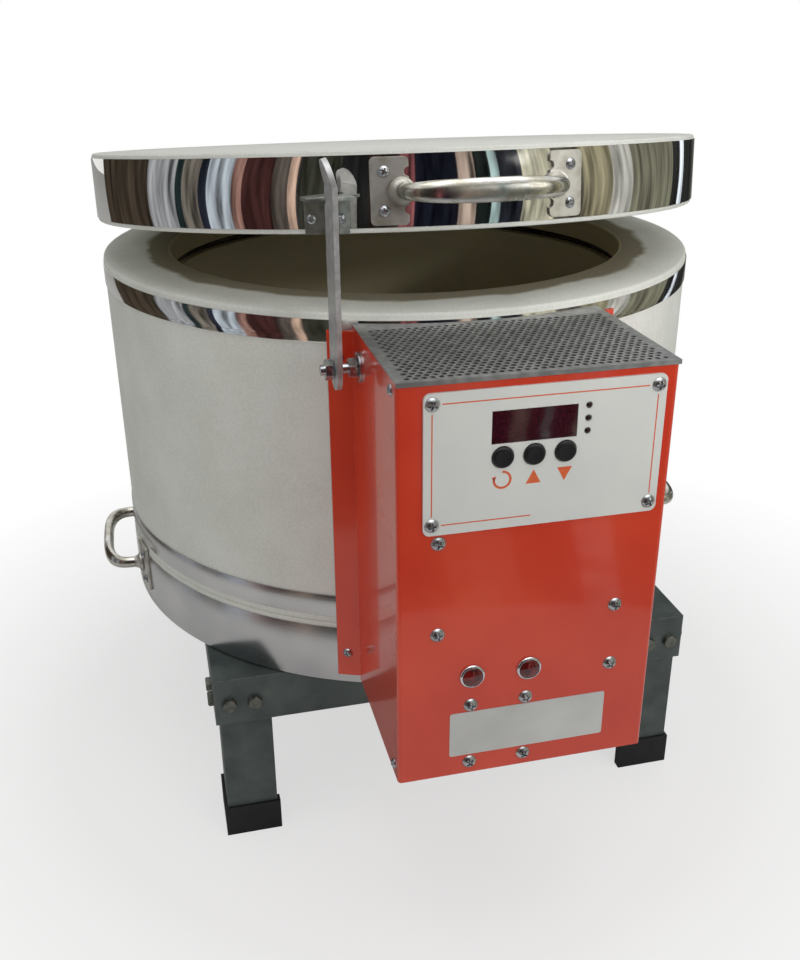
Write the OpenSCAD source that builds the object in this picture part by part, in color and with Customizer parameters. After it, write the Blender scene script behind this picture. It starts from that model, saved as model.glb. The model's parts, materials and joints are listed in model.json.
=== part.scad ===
/* [Kiln body] */
// Outside diameter of the wall, the floor slab and the lid
outer_d = 457.2; // [420:0.1:500]
// Inside diameter of the firing chamber
chamber_d = 355.6; // [320:0.1:380]
// Height of the chamber wall
wall_h = 223; // [200:1:300]
// Thickness of the floor slab
slab_h = 50; // [46:1:60]

/* [Steel bands] */
// Thickness of the stainless strip
band_t = 0.8; // [0.5:0.1:1.2]
// Width of the band near the rim
upper_band_w = 15; // [10:1:25]
// From the rim down to the upper band
upper_band_drop = 4.4; // [2:0.1:8]
// Width of the band near the foot of the wall
lower_band_w = 17; // [10:1:25]
// From the foot of the wall up to the lower band
lower_band_rise = 4.8; // [2:0.1:8]
// From the top of the floor slab down to its band
floor_band_drop = 4; // [2:0.1:5]
// Width of the band round the floor slab
floor_band_w = 44; // [30:1:45]
// Diameter of the clamp screws that draw the bands tight
clamp_screw_d = 4; // [3:0.5:5]

/* [Heating] */
// Height of each element groove
groove_h = 6.6; // [6:0.1:9]
// Depth of each groove into the wall
groove_depth = 9; // [8:0.5:14]
// From the rim down to the middle of the first groove
groove_drop = 21; // [15:1:40]
// Height between grooves
groove_pitch = 84; // [60:1:88]
// Outside diameter of the wound heating element
element_d = 5; // [4:0.1:5.5]
// Diameter of the element's straight tail through the wall
tail_d = 3.6; // [3:0.1:4]
// Angle of the tails either side of the front
tail_angle = 4; // [3:0.5:6]
// Diameter of the thermocouple sheath
sheath_d = 6; // [5:0.5:8]
// How far the thermocouple reaches into the chamber
sheath_reach = 14; // [8:1:25]
// From the rim down to the thermocouple
sheath_drop = 63; // [50:1:80]

/* [Lid] */
// Thickness of the lid slab
lid_t = 47.6; // [40:0.1:60]
// Width of the polished band round the lid
lid_band_w = 42; // [30:1:44]
// From the lid's underside up to its band
lid_band_rise = 2.9; // [2:0.1:5]
// How far the lid stands open on its prop, in degrees
lid_ajar = 6; // [0:0.5:10]
// Gap between the closed lid and the rim
lid_seat = 0.3; // [0.2:0.1:1]

/* [Lid hinge] */
// From the wall back to the hinge pin
hinge_back = 13.4; // [13:0.1:20]
// Height of the hinge pin above the rim
hinge_rise = 2; // [1:0.5:4]
// Diameter of the hinge pin
hinge_pin_d = 6.35; // [5:0.05:7]
// Width over the outside of the hinge's base ears
hinge_w = 52; // [44:1:70]
// Thickness of the hinge's steel
hinge_t = 3; // [2:0.5:4]

/* [Chest handles] */
// Between the two ends of a grip
grip_span = 96; // [80:1:110]
// From the band out to the middle of the grip
grip_reach = 21; // [18:1:32]
// Depth of the grip's oval section
grip_depth = 8; // [6:0.5:10]
// Height of the grip's section at its ends
grip_end_h = 9; // [7:0.5:10]
// Height of the grip's section in the middle
grip_mid_h = 14; // [10:0.5:16]
// Width of a mounting plate
plate_w = 23; // [20:1:28]
// Height of a mounting plate
plate_h = 39; // [36:1:41]
// Thickness of a mounting plate
plate_t = 1.6; // [1:0.1:2]
// Diameter of the collar where the grip meets its plate
collar_d = 16; // [13:0.5:17]

/* [Control box] */
// Width of the box
case_w = 162; // [158:1:176]
// Height of the box
case_h = 262; // [256:1:263]
// From the wall's front out to the face of the box
case_depth = 102.4; // [90:0.1:120]
// How far the box stands to the right of the kiln's middle
case_x = 2; // [0:0.1:3]
// From the rim down to the top of the box
case_drop = 6; // [5:0.5:10]
// Thickness of the box's sheet steel
sheet_t = 1.2; // [1:0.1:1.6]
// Width of the flanges that lie on the wall
flange_w = 15; // [12:0.5:18]
// How far the flanges stop short of the box's ends
flange_short = 3.5; // [2:0.5:8]
// Diameter of the holes in the perforated top
perf_d = 3.2; // [2.8:0.1:3.4]
// Spacing of the holes in the perforated top
perf_pitch = 4.76; // [4.6:0.01:6]
// Height of the perforated top's front lip
lip_h = 2.6; // [2:0.1:4]

/* [Control panel] */
// From the panel plate's edges out to the sides of the box, where it's centred
panel_margin = 11; // [8:0.5:13]
// Height of the panel plate
panel_h = 84; // [80:1:86]
// Thickness of the panel plate
panel_t = 1.5; // [1:0.1:2]
// From the middle of the box to the middle of the panel
panel_dx = 3.7; // [0:0.1:5]
// From the top of the box down to the panel
panel_drop = 7.1; // [5:0.1:10]
// Width of the display window
window_w = 49.5; // [45:0.5:52]
// Height of the display window
window_h = 19.3; // [16:0.1:20]
// Diameter of the push buttons
button_d = 12.5; // [10:0.1:13]
// Spacing of the push buttons
button_pitch = 18.3; // [17:0.1:20]
// How far a button stands out of the panel
button_proud = 1.9; // [1.6:0.1:3]
// Travel of a button
button_travel = 1.5; // [1:0.1:1.5]
// Diameter of the indicator lamps
lamp_d = 3.7; // [3:0.1:4]
// Diameter of the pilot lights' chrome rims
pilot_d = 15.8; // [14:0.1:18]
// Spacing of the pilot lights
pilot_pitch = 36; // [30:0.5:40]
// Width of the blank label
label_w = 101; // [90:1:105]
// Height of the blank label
label_h = 32; // [28:1:34]

/* [Prop arm] */
// Width of the flat bar
arm_w = 25.4; // [20:0.1:30]
// Thickness of the flat bar
arm_t = 3.2; // [2:0.1:5]
// From the pivot up to the bar's top
arm_reach = 121; // [118:1:126]
// From the box's side out to the middle of the bar
arm_standoff = 14; // [12:0.5:18]
// From the wall's front forward to the pivot
arm_forward = 8.4; // [7:0.1:10]
// From the top of the box down to the pivot
arm_drop = 21.4; // [18:0.1:26]
// Diameter of the pivot bolt
pivot_d = 6.35; // [5:0.05:7]
// Diameter of the fender washer
washer_d = 19; // [16:1:24]

/* [Stand] */
// Height of the stand
stand_h = 144; // [110:1:180]
// From the middle to the outside of the rails
stand_half = 186; // [178:1:200]
// How far the stand sits forward of the kiln's middle
stand_forward = 1.4; // [0:0.1:6]
// How far the stand sits to the right of the kiln's middle
stand_right = 3.5; // [0:0.5:6]
// Width of the angle iron
angle_w = 38.1; // [30:0.1:45]
// Thickness of the angle iron
angle_t = 3.2; // [2.5:0.1:5]
// Diameter of the stand's bolts
bolt_d = 6.35; // [5:0.05:7]
// Height of the plastic foot caps
cap_h = 26; // [20:1:35]
// Thickness of the foot caps
cap_t = 2.2; // [1.5:0.1:3]

/* [Hidden] */
$fn = 96;
fine = 160;
body_r = outer_d/2;
chamber_r = chamber_d/2;
slab_z = stand_h;
wall_z = slab_z + slab_h;
rim_z = wall_z + wall_h;
band_r = body_r + band_t;
clear = 0.3;
run_clear = 0.05;

hinge_y = body_r + hinge_back;
hinge_z = rim_z + hinge_rise;
knuckle_r = 8;
hinge_base_drop = 62;
hinge_base_h = 58;
hinge_leaf_rise = 5;
hinge_leaf_h = 38;
ear_x = hinge_w/2 - hinge_t;
lid_z = rim_z + lid_seat;
lid_band_z = lid_z + lid_band_rise;
handle_z = lid_band_z + lid_band_w/2;
floor_band_z = wall_z - floor_band_drop - floor_band_w;
side_handle_rise = 8;
side_handle_z = floor_band_z + floor_band_w/2 + side_handle_rise;

case_front = body_r + case_depth;
case_top_z = rim_z - case_drop;
case_bottom_z = case_top_z - case_h;
case_left = case_x - case_w/2;
case_right = case_x + case_w/2;
case_inner_y = case_front - sheet_t;
side_screw_dy = 11;
side_screw_dz = 7.5;
flange_r = band_r + clear;
flange_screw_dz = 22;

panel_w = case_w - 2*panel_margin;
panel_x = case_x + panel_dx;
panel_z = case_top_z - panel_drop - panel_h/2;
panel_face = case_front + panel_t;
panel_screw_dx = panel_w - 10;
panel_screw_dz = panel_h - 12.6;
window_x = panel_x - 6.9;
window_z = panel_z + 19.2;
button_x = panel_x - 6.5;
button_z = panel_z + 1.6;
lamp_x = panel_x + 24.1;
lamp_z = panel_z + 20;
lamp_pitch = 7.5;
board_gap = 12;
board_t = 1.6;
board_w = panel_w - 2;
board_h = panel_h - 5;
board_y = case_inner_y - board_gap;
button_flange_t = 1.4;
button_back = case_inner_y - clear - button_flange_t;
pilot_x = case_x - 16.9;
pilot_rise = 72.3;
pilot_z = case_bottom_z + pilot_rise;
pilot_body_d = pilot_d - 3.4;
label_x = case_x + 2;
label_rise = 30.4;
label_z = case_bottom_z + label_rise;
terminal_x = case_x - 56.8;
terminal_span = 60.3;
terminal_below_panel = 36.3;
terminal_z = panel_z - panel_h/2 - terminal_below_panel;
relay_x = case_x + 54.4;
relay_rise = 88;
relay_z = case_bottom_z + relay_rise;
relay_span = 42;
transformer_x = case_x - 17.7;
transformer_rise = 29.8;
transformer_z = case_bottom_z + transformer_rise;
transformer_dx = 35.3;
transformer_dz = 42.8;
front_screws_at = [
    for (s = [-1, 1]) [terminal_x, terminal_z + s*terminal_span/2],
    for (s = [-1, 1]) [relay_x, relay_z + s*relay_span/2],
    for (s = [-1, 1]) for (t = [-1, 1])
        [transformer_x + s*transformer_dx/2, transformer_z + t*transformer_dz/2]
];
panel_screws_at = [
    for (s = [-1, 1]) for (t = [-1, 1])
        [panel_x + s*panel_screw_dx/2, panel_z + t*panel_screw_dz/2]
];
screw_d = 4;
screw_head_d = 9.2;
screw_head_h = 2.8;
small_head_d = 7;
panel_head_d = 8.6;

arm_x = case_left - arm_standoff;
pivot_y = body_r + arm_forward;
pivot_z = case_top_z - arm_drop;
arm_tip = arm_reach - 13;
washer_t = 1.5;
nut_af = 11.1;
nut_h = 5.4;
catch_w = 29;
catch_t = 2;
catch_h = 22;
catch_front = 228;
catch_slot_w = 6;
catch_slot_back = 217.5;
catch_x = arm_x + 2.2;
catch_z = lid_band_z + catch_h - 2.9;
notch_z = catch_z + (hinge_y + catch_slot_back)*sin(lid_ajar) - pivot_z;

rail_z = stand_h;
leg_half = stand_half - angle_t;
bolt_z = stand_h - 21;
bolt_near = 7.6;
bolt_far = 26.4;
gland_d = 22;
gland_x = case_x + 45;
gland_y = case_front - 32;

front_reach = panel_face + screw_head_h*panel_head_d/screw_head_d;
rear_reach = hinge_y + knuckle_r;
axis_y = (front_reach - rear_reach)/2;

// Puts a piece drawn round the kiln's axis in its place over the middle of the whole
module on_axis() {
    translate([0, axis_y, 0]) children();
}

// Puts a piece of the stand in its place, a little off the middle of the kiln
module on_stand() {
    translate([stand_right, axis_y - stand_forward, 0]) children();
}

// Tilts a lid piece, drawn closed, up on the hinge pin
module ajar() {
    translate([0, hinge_y, hinge_z]) rotate([-lid_ajar, 0, 0]) translate([0, -hinge_y, -hinge_z])
        children();
}

// Turns a piece drawn at the front of the kiln to face another way
module facing(angle) {
    rotate([0, 0, angle]) children();
}

// Lays a piece drawn upright down, so that its +Z points out of the kiln's front
module outward() {
    rotate([90, 0, 0]) children();
}

module tube(r_in, r_out, h) {
    difference() {
        cylinder(r = r_out, h = h, $fn = fine);
        translate([0, 0, -1]) cylinder(r = r_in, h = h + 2, $fn = fine);
    }
}

module rounded_square(w, h, r) {
    square([w - 2*r, h], center = true);
    square([w, h - 2*r], center = true);
    for (x = [-1, 1]) for (y = [-1, 1])
        translate([x*(w/2 - r), y*(h/2 - r)]) circle(r = r, $fn = 32);
}

module hexagon(af, h) {
    cylinder(d = af/cos(30), h = h, $fn = 6);
}

// Domed screw head on the plane z = 0
module dome_head(d, h) {
    ball = (d*d/4 + h*h)/(2*h);
    rotate_extrude($fn = 48) intersection() {
        translate([0, h - ball]) circle(r = ball, $fn = 96);
        square([d/2, h + 1]);
    }
}

module screw(length, head = screw_head_d) {
    dome_head(head, screw_head_h*head/screw_head_d);
    translate([0, 0, -length]) cylinder(d = screw_d - 0.4, h = length, $fn = 32);
}

// Hole for a screw whose head sits on the plane z = 0
module bore() {
    translate([0, 0, -16]) cylinder(d = screw_d, h = 20, $fn = 32);
}

// Floor, wall and their bands

module floor_slab() {
    color("#d9d8c8") on_axis() difference() {
        translate([0, 0, slab_z]) cylinder(r = body_r, h = slab_h, $fn = fine);
        flange_screw_places() translate([0, 0, flange_r]) bore();
        side_handle_screw_places() bore();
    }
}

module wall_ring() {
    color("#d5d6c5") on_axis() difference() {
        translate([0, 0, wall_z]) tube(chamber_r, body_r, wall_h);
        for (row = [0:2]) {
            translate([0, 0, groove_z(row) - groove_h/2]) tube(chamber_r - 1, chamber_r + groove_depth, groove_h);
            for (side = [-1, 1]) translate([0, 0, element_z(row)]) facing(side*tail_angle) outward()
                translate([0, 0, chamber_r + 1]) cylinder(d = tail_d + 2*clear, h = body_r - chamber_r);
        }
        translate([0, 0, rim_z - sheath_drop]) outward()
            translate([0, 0, chamber_r - 5]) cylinder(d = sheath_d + 2*clear, h = body_r - chamber_r + 10);
        flange_screw_places() translate([0, 0, flange_r]) bore();
        hinge_screw_places() bore();
    }
}

module band(z, w) {
    on_axis() translate([0, 0, z]) tube(body_r, band_r, w);
}

module floor_band() {
    color("#8f9093") difference() {
        band(floor_band_z, floor_band_w);
        on_axis() flange_screw_places() translate([0, 0, flange_r]) bore();
        on_axis() side_handle_screw_places() bore();
    }
}

module upper_band() {
    color("#c9ccd0") band(rim_z - upper_band_drop - upper_band_w, upper_band_w);
}

module lower_band() {
    color("#c9ccd0") band(wall_z + lower_band_rise, lower_band_w);
}

// Two lugs and a cross screw at the back of each band, beside the hinge
module band_clamp(z, w) {
    lug_h = w - 5;
    lug_gap = 12;
    on_axis() facing(180 - 22) translate([0, 0, z + 2.5]) difference() {
        clamp_lugs(lug_h, lug_gap);
        translate([0, 0, -1]) cylinder(r = band_r + run_clear, h = lug_h + 2, $fn = fine);
    }
}

module clamp_lugs(lug_h, lug_gap) {
    for (side = [-1, 1]) translate([side*lug_gap/2 - 1, -band_r - 11, 0]) cube([2, 11.4, lug_h]);
    translate([-lug_gap/2 - 5, -band_r - 7, lug_h/2]) rotate([0, 90, 0])
        cylinder(d = clamp_screw_d, h = lug_gap + 14, $fn = 32);
    translate([lug_gap/2 + 1, -band_r - 7, lug_h/2]) rotate([0, 90, 0]) dome_head(8, 3);
    intersection() {
        tube(band_r, band_r + 1, lug_h);
        translate([-14, -band_r - 5, -1]) cube([28, 20, lug_h + 2]);
    }
}

module band_clamps() {
    color("#b9bcc0") {
        band_clamp(rim_z - upper_band_drop - upper_band_w, upper_band_w);
        band_clamp(wall_z + lower_band_rise, lower_band_w);
        band_clamp(floor_band_z + floor_band_w/2 - 9, 18);
    }
}

// Heating elements, wound wire lying in the grooves, drawn as a smooth ring

function groove_z(row) = rim_z - groove_drop - row*groove_pitch;
function element_z(row) = groove_z(row) - groove_h/2 + clear + element_d/2;

module element(row) {
    ring_r = chamber_r + groove_depth - clear - element_d/2;
    color("#6d6a66") on_axis() translate([0, 0, element_z(row)]) {
        rotate([0, 0, tail_angle - 90]) rotate_extrude(angle = 360 - 2*tail_angle, $fn = fine)
            translate([ring_r, 0]) circle(d = element_d, $fn = 24);
        for (side = [-1, 1]) facing(side*tail_angle) outward()
            translate([0, 0, ring_r]) cylinder(d = tail_d, h = body_r - ring_r + 22, $fn = 24);
        for (side = [-1, 1]) facing(side*tail_angle) outward()
            translate([0, 0, body_r + 10]) hexagon(8, 12);
    }
}

module thermocouple() {
    block_w = 26;
    block_h = 16;
    block_d = 16;
    color("#e6e3d8") on_axis() translate([0, 0, rim_z - sheath_drop]) {
        outward() translate([0, 0, chamber_r - sheath_reach])
            cylinder(d = sheath_d, h = body_r - chamber_r + sheath_reach + 2, $fn = 32);
        translate([-block_w/2, -body_r - block_d - clear, -block_h/2]) cube([block_w, block_d, block_h]);
        for (side = [-1, 1]) translate([side*7, -body_r - block_d - clear, 0]) outward() dome_head(6, 2);
    }
}

// Control box: one sheet folded round the front and sides, with flanges on the wall

module case_outline() {
    corner_r = 2.6;
    back = case_front - 150;
    module ends(inset) {
        r = corner_r - inset;
        translate([case_left + inset, -case_front + inset + r])
            square([case_w - 2*inset, case_front - back - inset - r]);
        translate([case_left + inset + r, -case_front + inset]) square([case_w - 2*inset - 2*r, 10]);
        for (x = [case_left + inset + r, case_right - inset - r])
            translate([x, -case_front + inset + r]) circle(r = r, $fn = 32);
    }
    difference() {
        ends(0);
        ends(sheet_t);
        circle(r = flange_r, $fn = fine);
    }
}

module flange_outline() {
    intersection() {
        difference() {
            circle(r = flange_r + sheet_t, $fn = fine);
            circle(r = flange_r, $fn = fine);
        }
        for (side = [-1, 1])
            translate([case_x + side*(case_w/2 + flange_w/2 - sheet_t/2) - flange_w/2 - sheet_t/2, -body_r - 20])
                square([flange_w + sheet_t, 60]);
    }
}

// Angle from the front of a flange screw on the left or the right
function flange_angle(side) = asin((case_x + side*(case_w/2 + flange_w*0.52))/flange_r);

module flange_screw_places() {
    for (side = [-1, 1]) for (z = [case_bottom_z + flange_screw_dz, case_top_z - flange_screw_dz])
        translate([0, 0, z]) facing(flange_angle(side)) outward() children();
}

module side_screw_places() {
    for (z = [case_bottom_z + side_screw_dz, case_top_z - side_screw_dz]) {
        translate([case_left, -case_front + side_screw_dy, z]) rotate([0, -90, 0]) children();
        translate([case_right, -case_front + side_screw_dy, z]) rotate([0, 90, 0]) children();
    }
}

module control_case() {
    top_z = case_top_z - sheet_t;
    color("#d2301c") on_axis() difference() {
        union() {
            translate([0, 0, case_bottom_z]) linear_extrude(top_z - case_bottom_z) case_outline();
            translate([0, 0, case_bottom_z + flange_short])
                linear_extrude(top_z - case_bottom_z - 2*flange_short) flange_outline();
        }
        translate([window_x, -case_front, window_z])
            cube([window_w + 1, 10, window_h + 1], center = true);
        for (i = [-1:1]) {
            translate([button_x + i*button_pitch, -case_front + 5, button_z])
                outward() cylinder(d = button_d + 2*clear, h = 10);
            translate([lamp_x, -case_front + 5, lamp_z + i*lamp_pitch])
                outward() cylinder(d = lamp_d + 2*clear, h = 10, $fn = 32);
        }
        for (i = [-1, 1]) translate([pilot_x + i*pilot_pitch/2, -case_front + 5, pilot_z])
            outward() cylinder(d = pilot_body_d + 0.2, h = 10);
        for (p = concat(panel_screws_at, front_screws_at)) translate([p[0], -case_front + 5, p[1]])
            outward() cylinder(d = screw_d, h = 10, $fn = 32);
        side_screw_places() translate([0, 0, -5]) cylinder(d = screw_d, h = 10, $fn = 32);
        flange_screw_places() translate([0, 0, flange_r - 5]) cylinder(d = screw_d, h = 10, $fn = 32);
        translate([case_left - 5, -pivot_y, pivot_z]) rotate([0, 90, 0])
            cylinder(d = pivot_d + 0.2, h = 10);
    }
}

// Perforated sheet laid on the box, with a lip over the front and tabs inside the sides
module case_top() {
    tab_h = 14;
    margin = 3.4;
    row_pitch = perf_pitch*sin(60);
    rows = floor((case_depth - 2*margin)/row_pitch);
    cols = floor((case_w - 2*margin)/perf_pitch);
    color("#9a9c9e") on_axis() {
        translate([0, 0, case_top_z - sheet_t]) linear_extrude(sheet_t) difference() {
            translate([case_left, -case_front - clear]) square([case_w, case_depth + 60]);
            circle(r = band_r + clear, $fn = fine);
            translate([case_left - 1, -body_r + 17]) square([case_w + 2, 200]);
            for (r = [0:rows - 1]) for (c = [0:cols - 1 - r%2])
                if (norm([hole_x(r, c), hole_y(r)]) > band_r + margin)
                    translate([hole_x(r, c), hole_y(r)]) circle(d = perf_d, $fn = 16);
        }
        translate([case_left, -case_front - clear - sheet_t, case_top_z - lip_h])
            cube([case_w, sheet_t, lip_h]);
        for (x = [case_left + sheet_t + clear, case_right - 2*sheet_t - clear]) difference() {
            translate([x, -case_front + 5, case_top_z - tab_h]) cube([sheet_t, 60, tab_h]);
            side_screw_places() translate([0, 0, -5]) cylinder(d = screw_d, h = 10, $fn = 32);
        }
    }
    function hole_x(r, c) = case_x + (c - (cols - 1 - r%2)/2)*perf_pitch;
    function hole_y(r) = -case_front + margin + 1 + r*row_pitch;
}

// Plate across the bottom of the box, with tabs up inside the sides and a hole for the cord
module case_bottom() {
    tab_h = 16;
    color("#c42c1a") on_axis() {
        difference() {
            translate([0, 0, case_bottom_z]) linear_extrude(sheet_t) difference() {
                translate([case_left + sheet_t + clear, -case_inner_y + 2])
                    square([case_w - 2*(sheet_t + clear), case_depth + 40]);
                circle(r = band_r + clear, $fn = fine);
                translate([case_left - 1, -body_r + 16]) square([case_w + 2, 200]);
            }
            translate([gland_x, -gland_y, case_bottom_z - 5]) cylinder(d = gland_d - 6, h = 10);
        }
        for (x = [case_left + sheet_t + clear, case_right - 2*sheet_t - clear]) difference() {
            translate([x, -case_front + 5, case_bottom_z]) cube([sheet_t, 60, tab_h]);
            side_screw_places() translate([0, 0, -5]) cylinder(d = screw_d, h = 10, $fn = 32);
        }
    }
}

module case_screws() {
    color("#c8cacc") on_axis() {
        side_screw_places() screw(5, small_head_d);
        flange_screw_places() translate([0, 0, flange_r + sheet_t]) screw(14, small_head_d);
    }
}

module front_screws() {
    color("#c8cacc") on_axis() for (p = front_screws_at)
        translate([p[0], -case_front, p[1]]) outward() screw(7);
}

// Plastic cord bushing, a flanged nut inside and a domed collar below the plate
module cord_gland() {
    color("#222222") on_axis() translate([gland_x, -gland_y, case_bottom_z]) difference() {
        union() {
            translate([0, 0, -6]) rotate_extrude() polygon([
                [0, 0], [gland_d/2 - 5, 0], [gland_d/2 - 1, 3], [gland_d/2, 6], [gland_d/2 - 3.2, 6],
                [gland_d/2 - 3.2, 7 + sheet_t], [0, 7 + sheet_t]
            ]);
            translate([0, 0, sheet_t]) hexagon(gland_d, 6);
        }
        translate([0, 0, -10]) cylinder(d = 8, h = 30);
    }
}

// Panel plate and what sits in it

module control_panel() {
    color("#e4e3dc") on_axis() translate([0, -case_front, 0]) difference() {
        translate([panel_x, 0, panel_z]) outward() linear_extrude(panel_t) rounded_square(panel_w, panel_h, 4);
        translate([window_x, 0, window_z]) cube([window_w, 10, window_h], center = true);
        for (i = [-1:1]) {
            translate([button_x + i*button_pitch, 5, button_z])
                outward() cylinder(d = button_d + 2*clear, h = 10);
            translate([lamp_x, 5, lamp_z + i*lamp_pitch])
                outward() cylinder(d = lamp_d + 0.2, h = 10, $fn = 32);
        }
        for (p = panel_screws_at) translate([p[0], 5, p[1]])
            outward() cylinder(d = screw_d, h = 10, $fn = 32);
    }
}

module panel_screws() {
    color("#c8cacc") on_axis() for (p = panel_screws_at)
        translate([p[0], -panel_face, p[1]]) outward() screw(panel_t + sheet_t + board_gap + 4, panel_head_d);
}

// Dark red lens in the panel, backed by the display block that stands on the board
module display_window() {
    lens_t = panel_t - 0.2;
    color("#4a0f18") on_axis() {
        translate([window_x, -case_front - lens_t/2, window_z])
            cube([window_w - 0.2, lens_t, window_h - 0.2], center = true);
        translate([window_x - window_w/2 + 1, -case_front, window_z - window_h/2 + 1])
            cube([window_w - 2, sheet_t + board_gap - clear, window_h - 2]);
    }
}

module indicator_lamps() {
    color("#1c0a0a") on_axis() for (i = [-1:1])
        translate([lamp_x, -board_y - clear, lamp_z + i*lamp_pitch]) outward() {
            cylinder(d = lamp_d, h = panel_face - board_y - 0.4, $fn = 32);
            translate([0, 0, panel_face - board_y - 0.4]) dome_head(lamp_d, 1.1);
        }
}

// Push button with a flange behind the sheet that keeps it in
module push_button(i) {
    color("#161616") on_axis() translate([button_x + i*button_pitch, 0, button_z]) outward() {
        translate([0, 0, button_back]) cylinder(d = button_d + 3, h = button_flange_t);
        translate([0, 0, button_back]) cylinder(d = button_d, h = panel_face + button_proud - button_back - 0.8);
        translate([0, 0, panel_face + button_proud - 0.8]) rotate_extrude() polygon([
            [0, 0], [button_d/2, 0], [button_d/2 - 0.8, 0.8], [0, 0.8]
        ]);
    }
}

module circuit_board() {
    switch_h = button_back - board_y - button_travel - clear;
    color("#2e6b3c") on_axis() {
        translate([panel_x, -board_y, panel_z]) rotate([-90, 0, 0]) linear_extrude(board_t) difference() {
            square([board_w, board_h], center = true);
            for (s = [-1, 1]) for (t = [-1, 1])
                translate([s*panel_screw_dx/2, t*panel_screw_dz/2]) circle(d = screw_d, $fn = 32);
        }
        for (i = [-1:1]) translate([button_x + i*button_pitch, -board_y, button_z]) outward()
            translate([0, 0, switch_h/2]) cube([9, 9, switch_h], center = true);
        for (i = [0:5]) translate([panel_x - 50 + i*14, -board_y + board_t, panel_z - 28])
            cube([9, 4, 12]);
    }
}

module board_spacers() {
    color("#bfc2c4") on_axis() for (p = panel_screws_at)
        translate([p[0], -board_y, p[1]]) outward() difference() {
            cylinder(d = 7, h = board_gap, $fn = 32);
            translate([0, 0, -1]) cylinder(d = screw_d, h = board_gap + 2, $fn = 32);
        }
}

// Relay: a lidded block with spade terminals, on a base with two ears
module relay() {
    color("#2b2f36") on_axis() translate([relay_x, -case_inner_y, relay_z]) difference() {
        union() {
            translate([-14, 0, -relay_span/2 - 6]) cube([28, 3, relay_span + 12]);
            translate([-14, 3, -16]) cube([28, 24, 32]);
            for (x = [-9, -3, 3, 9]) for (z = [-10, 6]) translate([x - 0.4, 27, z]) cube([0.8, 8, 5]);
        }
        for (s = [-1, 1]) translate([0, 5, s*relay_span/2]) outward() cylinder(d = screw_d, h = 10, $fn = 32);
    }
}

// Terminal block: a ribbed insulating strip with a screw in each way
module terminal_block() {
    ways = 5;
    way = 9.5;
    color("#3a3a3a") on_axis() translate([terminal_x, -case_inner_y, terminal_z]) difference() {
        union() {
            translate([-10, 0, -terminal_span/2 - 6.5]) cube([20, 4, terminal_span + 13]);
            translate([-10, 0, -ways*way/2]) cube([20, 9, ways*way]);
            for (i = [0:ways]) translate([-10, 4, (i - ways/2)*way - 0.8]) cube([20, 13, 1.6]);
            for (i = [0:ways - 1]) for (s = [-1, 1])
                translate([s*5, 9, (i - ways/2 + 0.5)*way]) rotate([-90, 0, 0]) cylinder(d = 5.5, h = 2, $fn = 24);
        }
        for (s = [-1, 1]) translate([0, 6, s*terminal_span/2]) outward()
            cylinder(d = screw_d, h = 12, $fn = 32);
    }
}

// Small transformer: a laminated core between two winding cheeks, on a folded foot
module transformer() {
    core_w = 30;
    core_h = 36;
    color("#8c6a3c") on_axis() translate([transformer_x, -case_inner_y, transformer_z]) difference() {
        union() {
            translate([-transformer_dx/2 - 6, 0, -transformer_dz/2 - 6])
                cube([transformer_dx + 12, 2, transformer_dz + 12]);
            for (i = [0:7]) translate([-core_w/2, 2 + i*3, -core_h/2]) cube([core_w, 2.6, core_h]);
            translate([-core_w/2 + 0.5, 2, -core_h/2 + 0.5]) cube([core_w - 1, 23, core_h - 1]);
            for (s = [-1, 1]) translate([s*(core_w/2 + 3.4) - 3.6, 5, -10]) cube([7.2, 18, 20]);
        }
        for (s = [-1, 1]) for (t = [-1, 1])
            translate([s*transformer_dx/2, 6, t*transformer_dz/2]) outward()
                cylinder(d = screw_d, h = 12, $fn = 32);
    }
}

module pilot_bezels() {
    color("#d6d8da") on_axis() for (i = [-1, 1])
        translate([pilot_x + i*pilot_pitch/2, -case_front, pilot_z]) outward() rotate_extrude() polygon([
            [pilot_body_d/2 + 0.1, 0], [pilot_d/2, 0], [pilot_d/2, 0.6], [pilot_d/2 - 0.7, 1.8],
            [pilot_body_d/2 + 0.1, 1.8]
        ]);
}

module pilot_lenses() {
    color("#7a1414") on_axis() for (i = [-1, 1])
        translate([pilot_x + i*pilot_pitch/2, -case_front, pilot_z]) outward() {
            translate([0, 0, -26]) cylinder(d = pilot_body_d, h = 27.4);
            translate([0, 0, 1.4]) dome_head(pilot_body_d, 1.8);
            for (s = [-1, 1]) translate([s*3 - 0.4, -2.5, -34]) cube([0.8, 5, 8.5]);
        }
}

module blank_label() {
    color("#d8d8d2") on_axis() translate([label_x, -case_front, label_z]) outward()
        linear_extrude(0.4) rounded_square(label_w, label_h, 1.5);
}

// Prop arm: a flat bar with round ends, a notch for the catch and a bent finger tab

module prop_arm() {
    tab_turn = 28;
    tab_l = 15;
    color("#a7a9ab") on_axis() translate([arm_x, -pivot_y, pivot_z]) difference() {
        union() {
            translate([-arm_t/2, 0, 0]) rotate([90, 0, 90]) linear_extrude(arm_t) {
                circle(d = arm_w, $fn = 64);
                translate([-arm_w/2, 0]) square([arm_w, arm_tip]);
            }
            translate([0, 0, arm_tip]) rotate([0, -tab_turn, 0]) translate([-arm_t/2, 0, 0])
                rotate([90, 0, 90]) linear_extrude(arm_t) intersection() {
                    translate([0, tab_l - arm_w/2]) circle(d = arm_w, $fn = 64);
                    translate([-arm_w/2, -1]) square([arm_w, tab_l + 1]);
                }
        }
        translate([-10, 0, 0]) rotate([0, 90, 0]) cylinder(d = pivot_d + 2*run_clear, h = 20, $fn = 64);
        translate([-10, arm_w/2 - 3, notch_z - 2.5]) cube([20, 10, 5]);
    }
}

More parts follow.
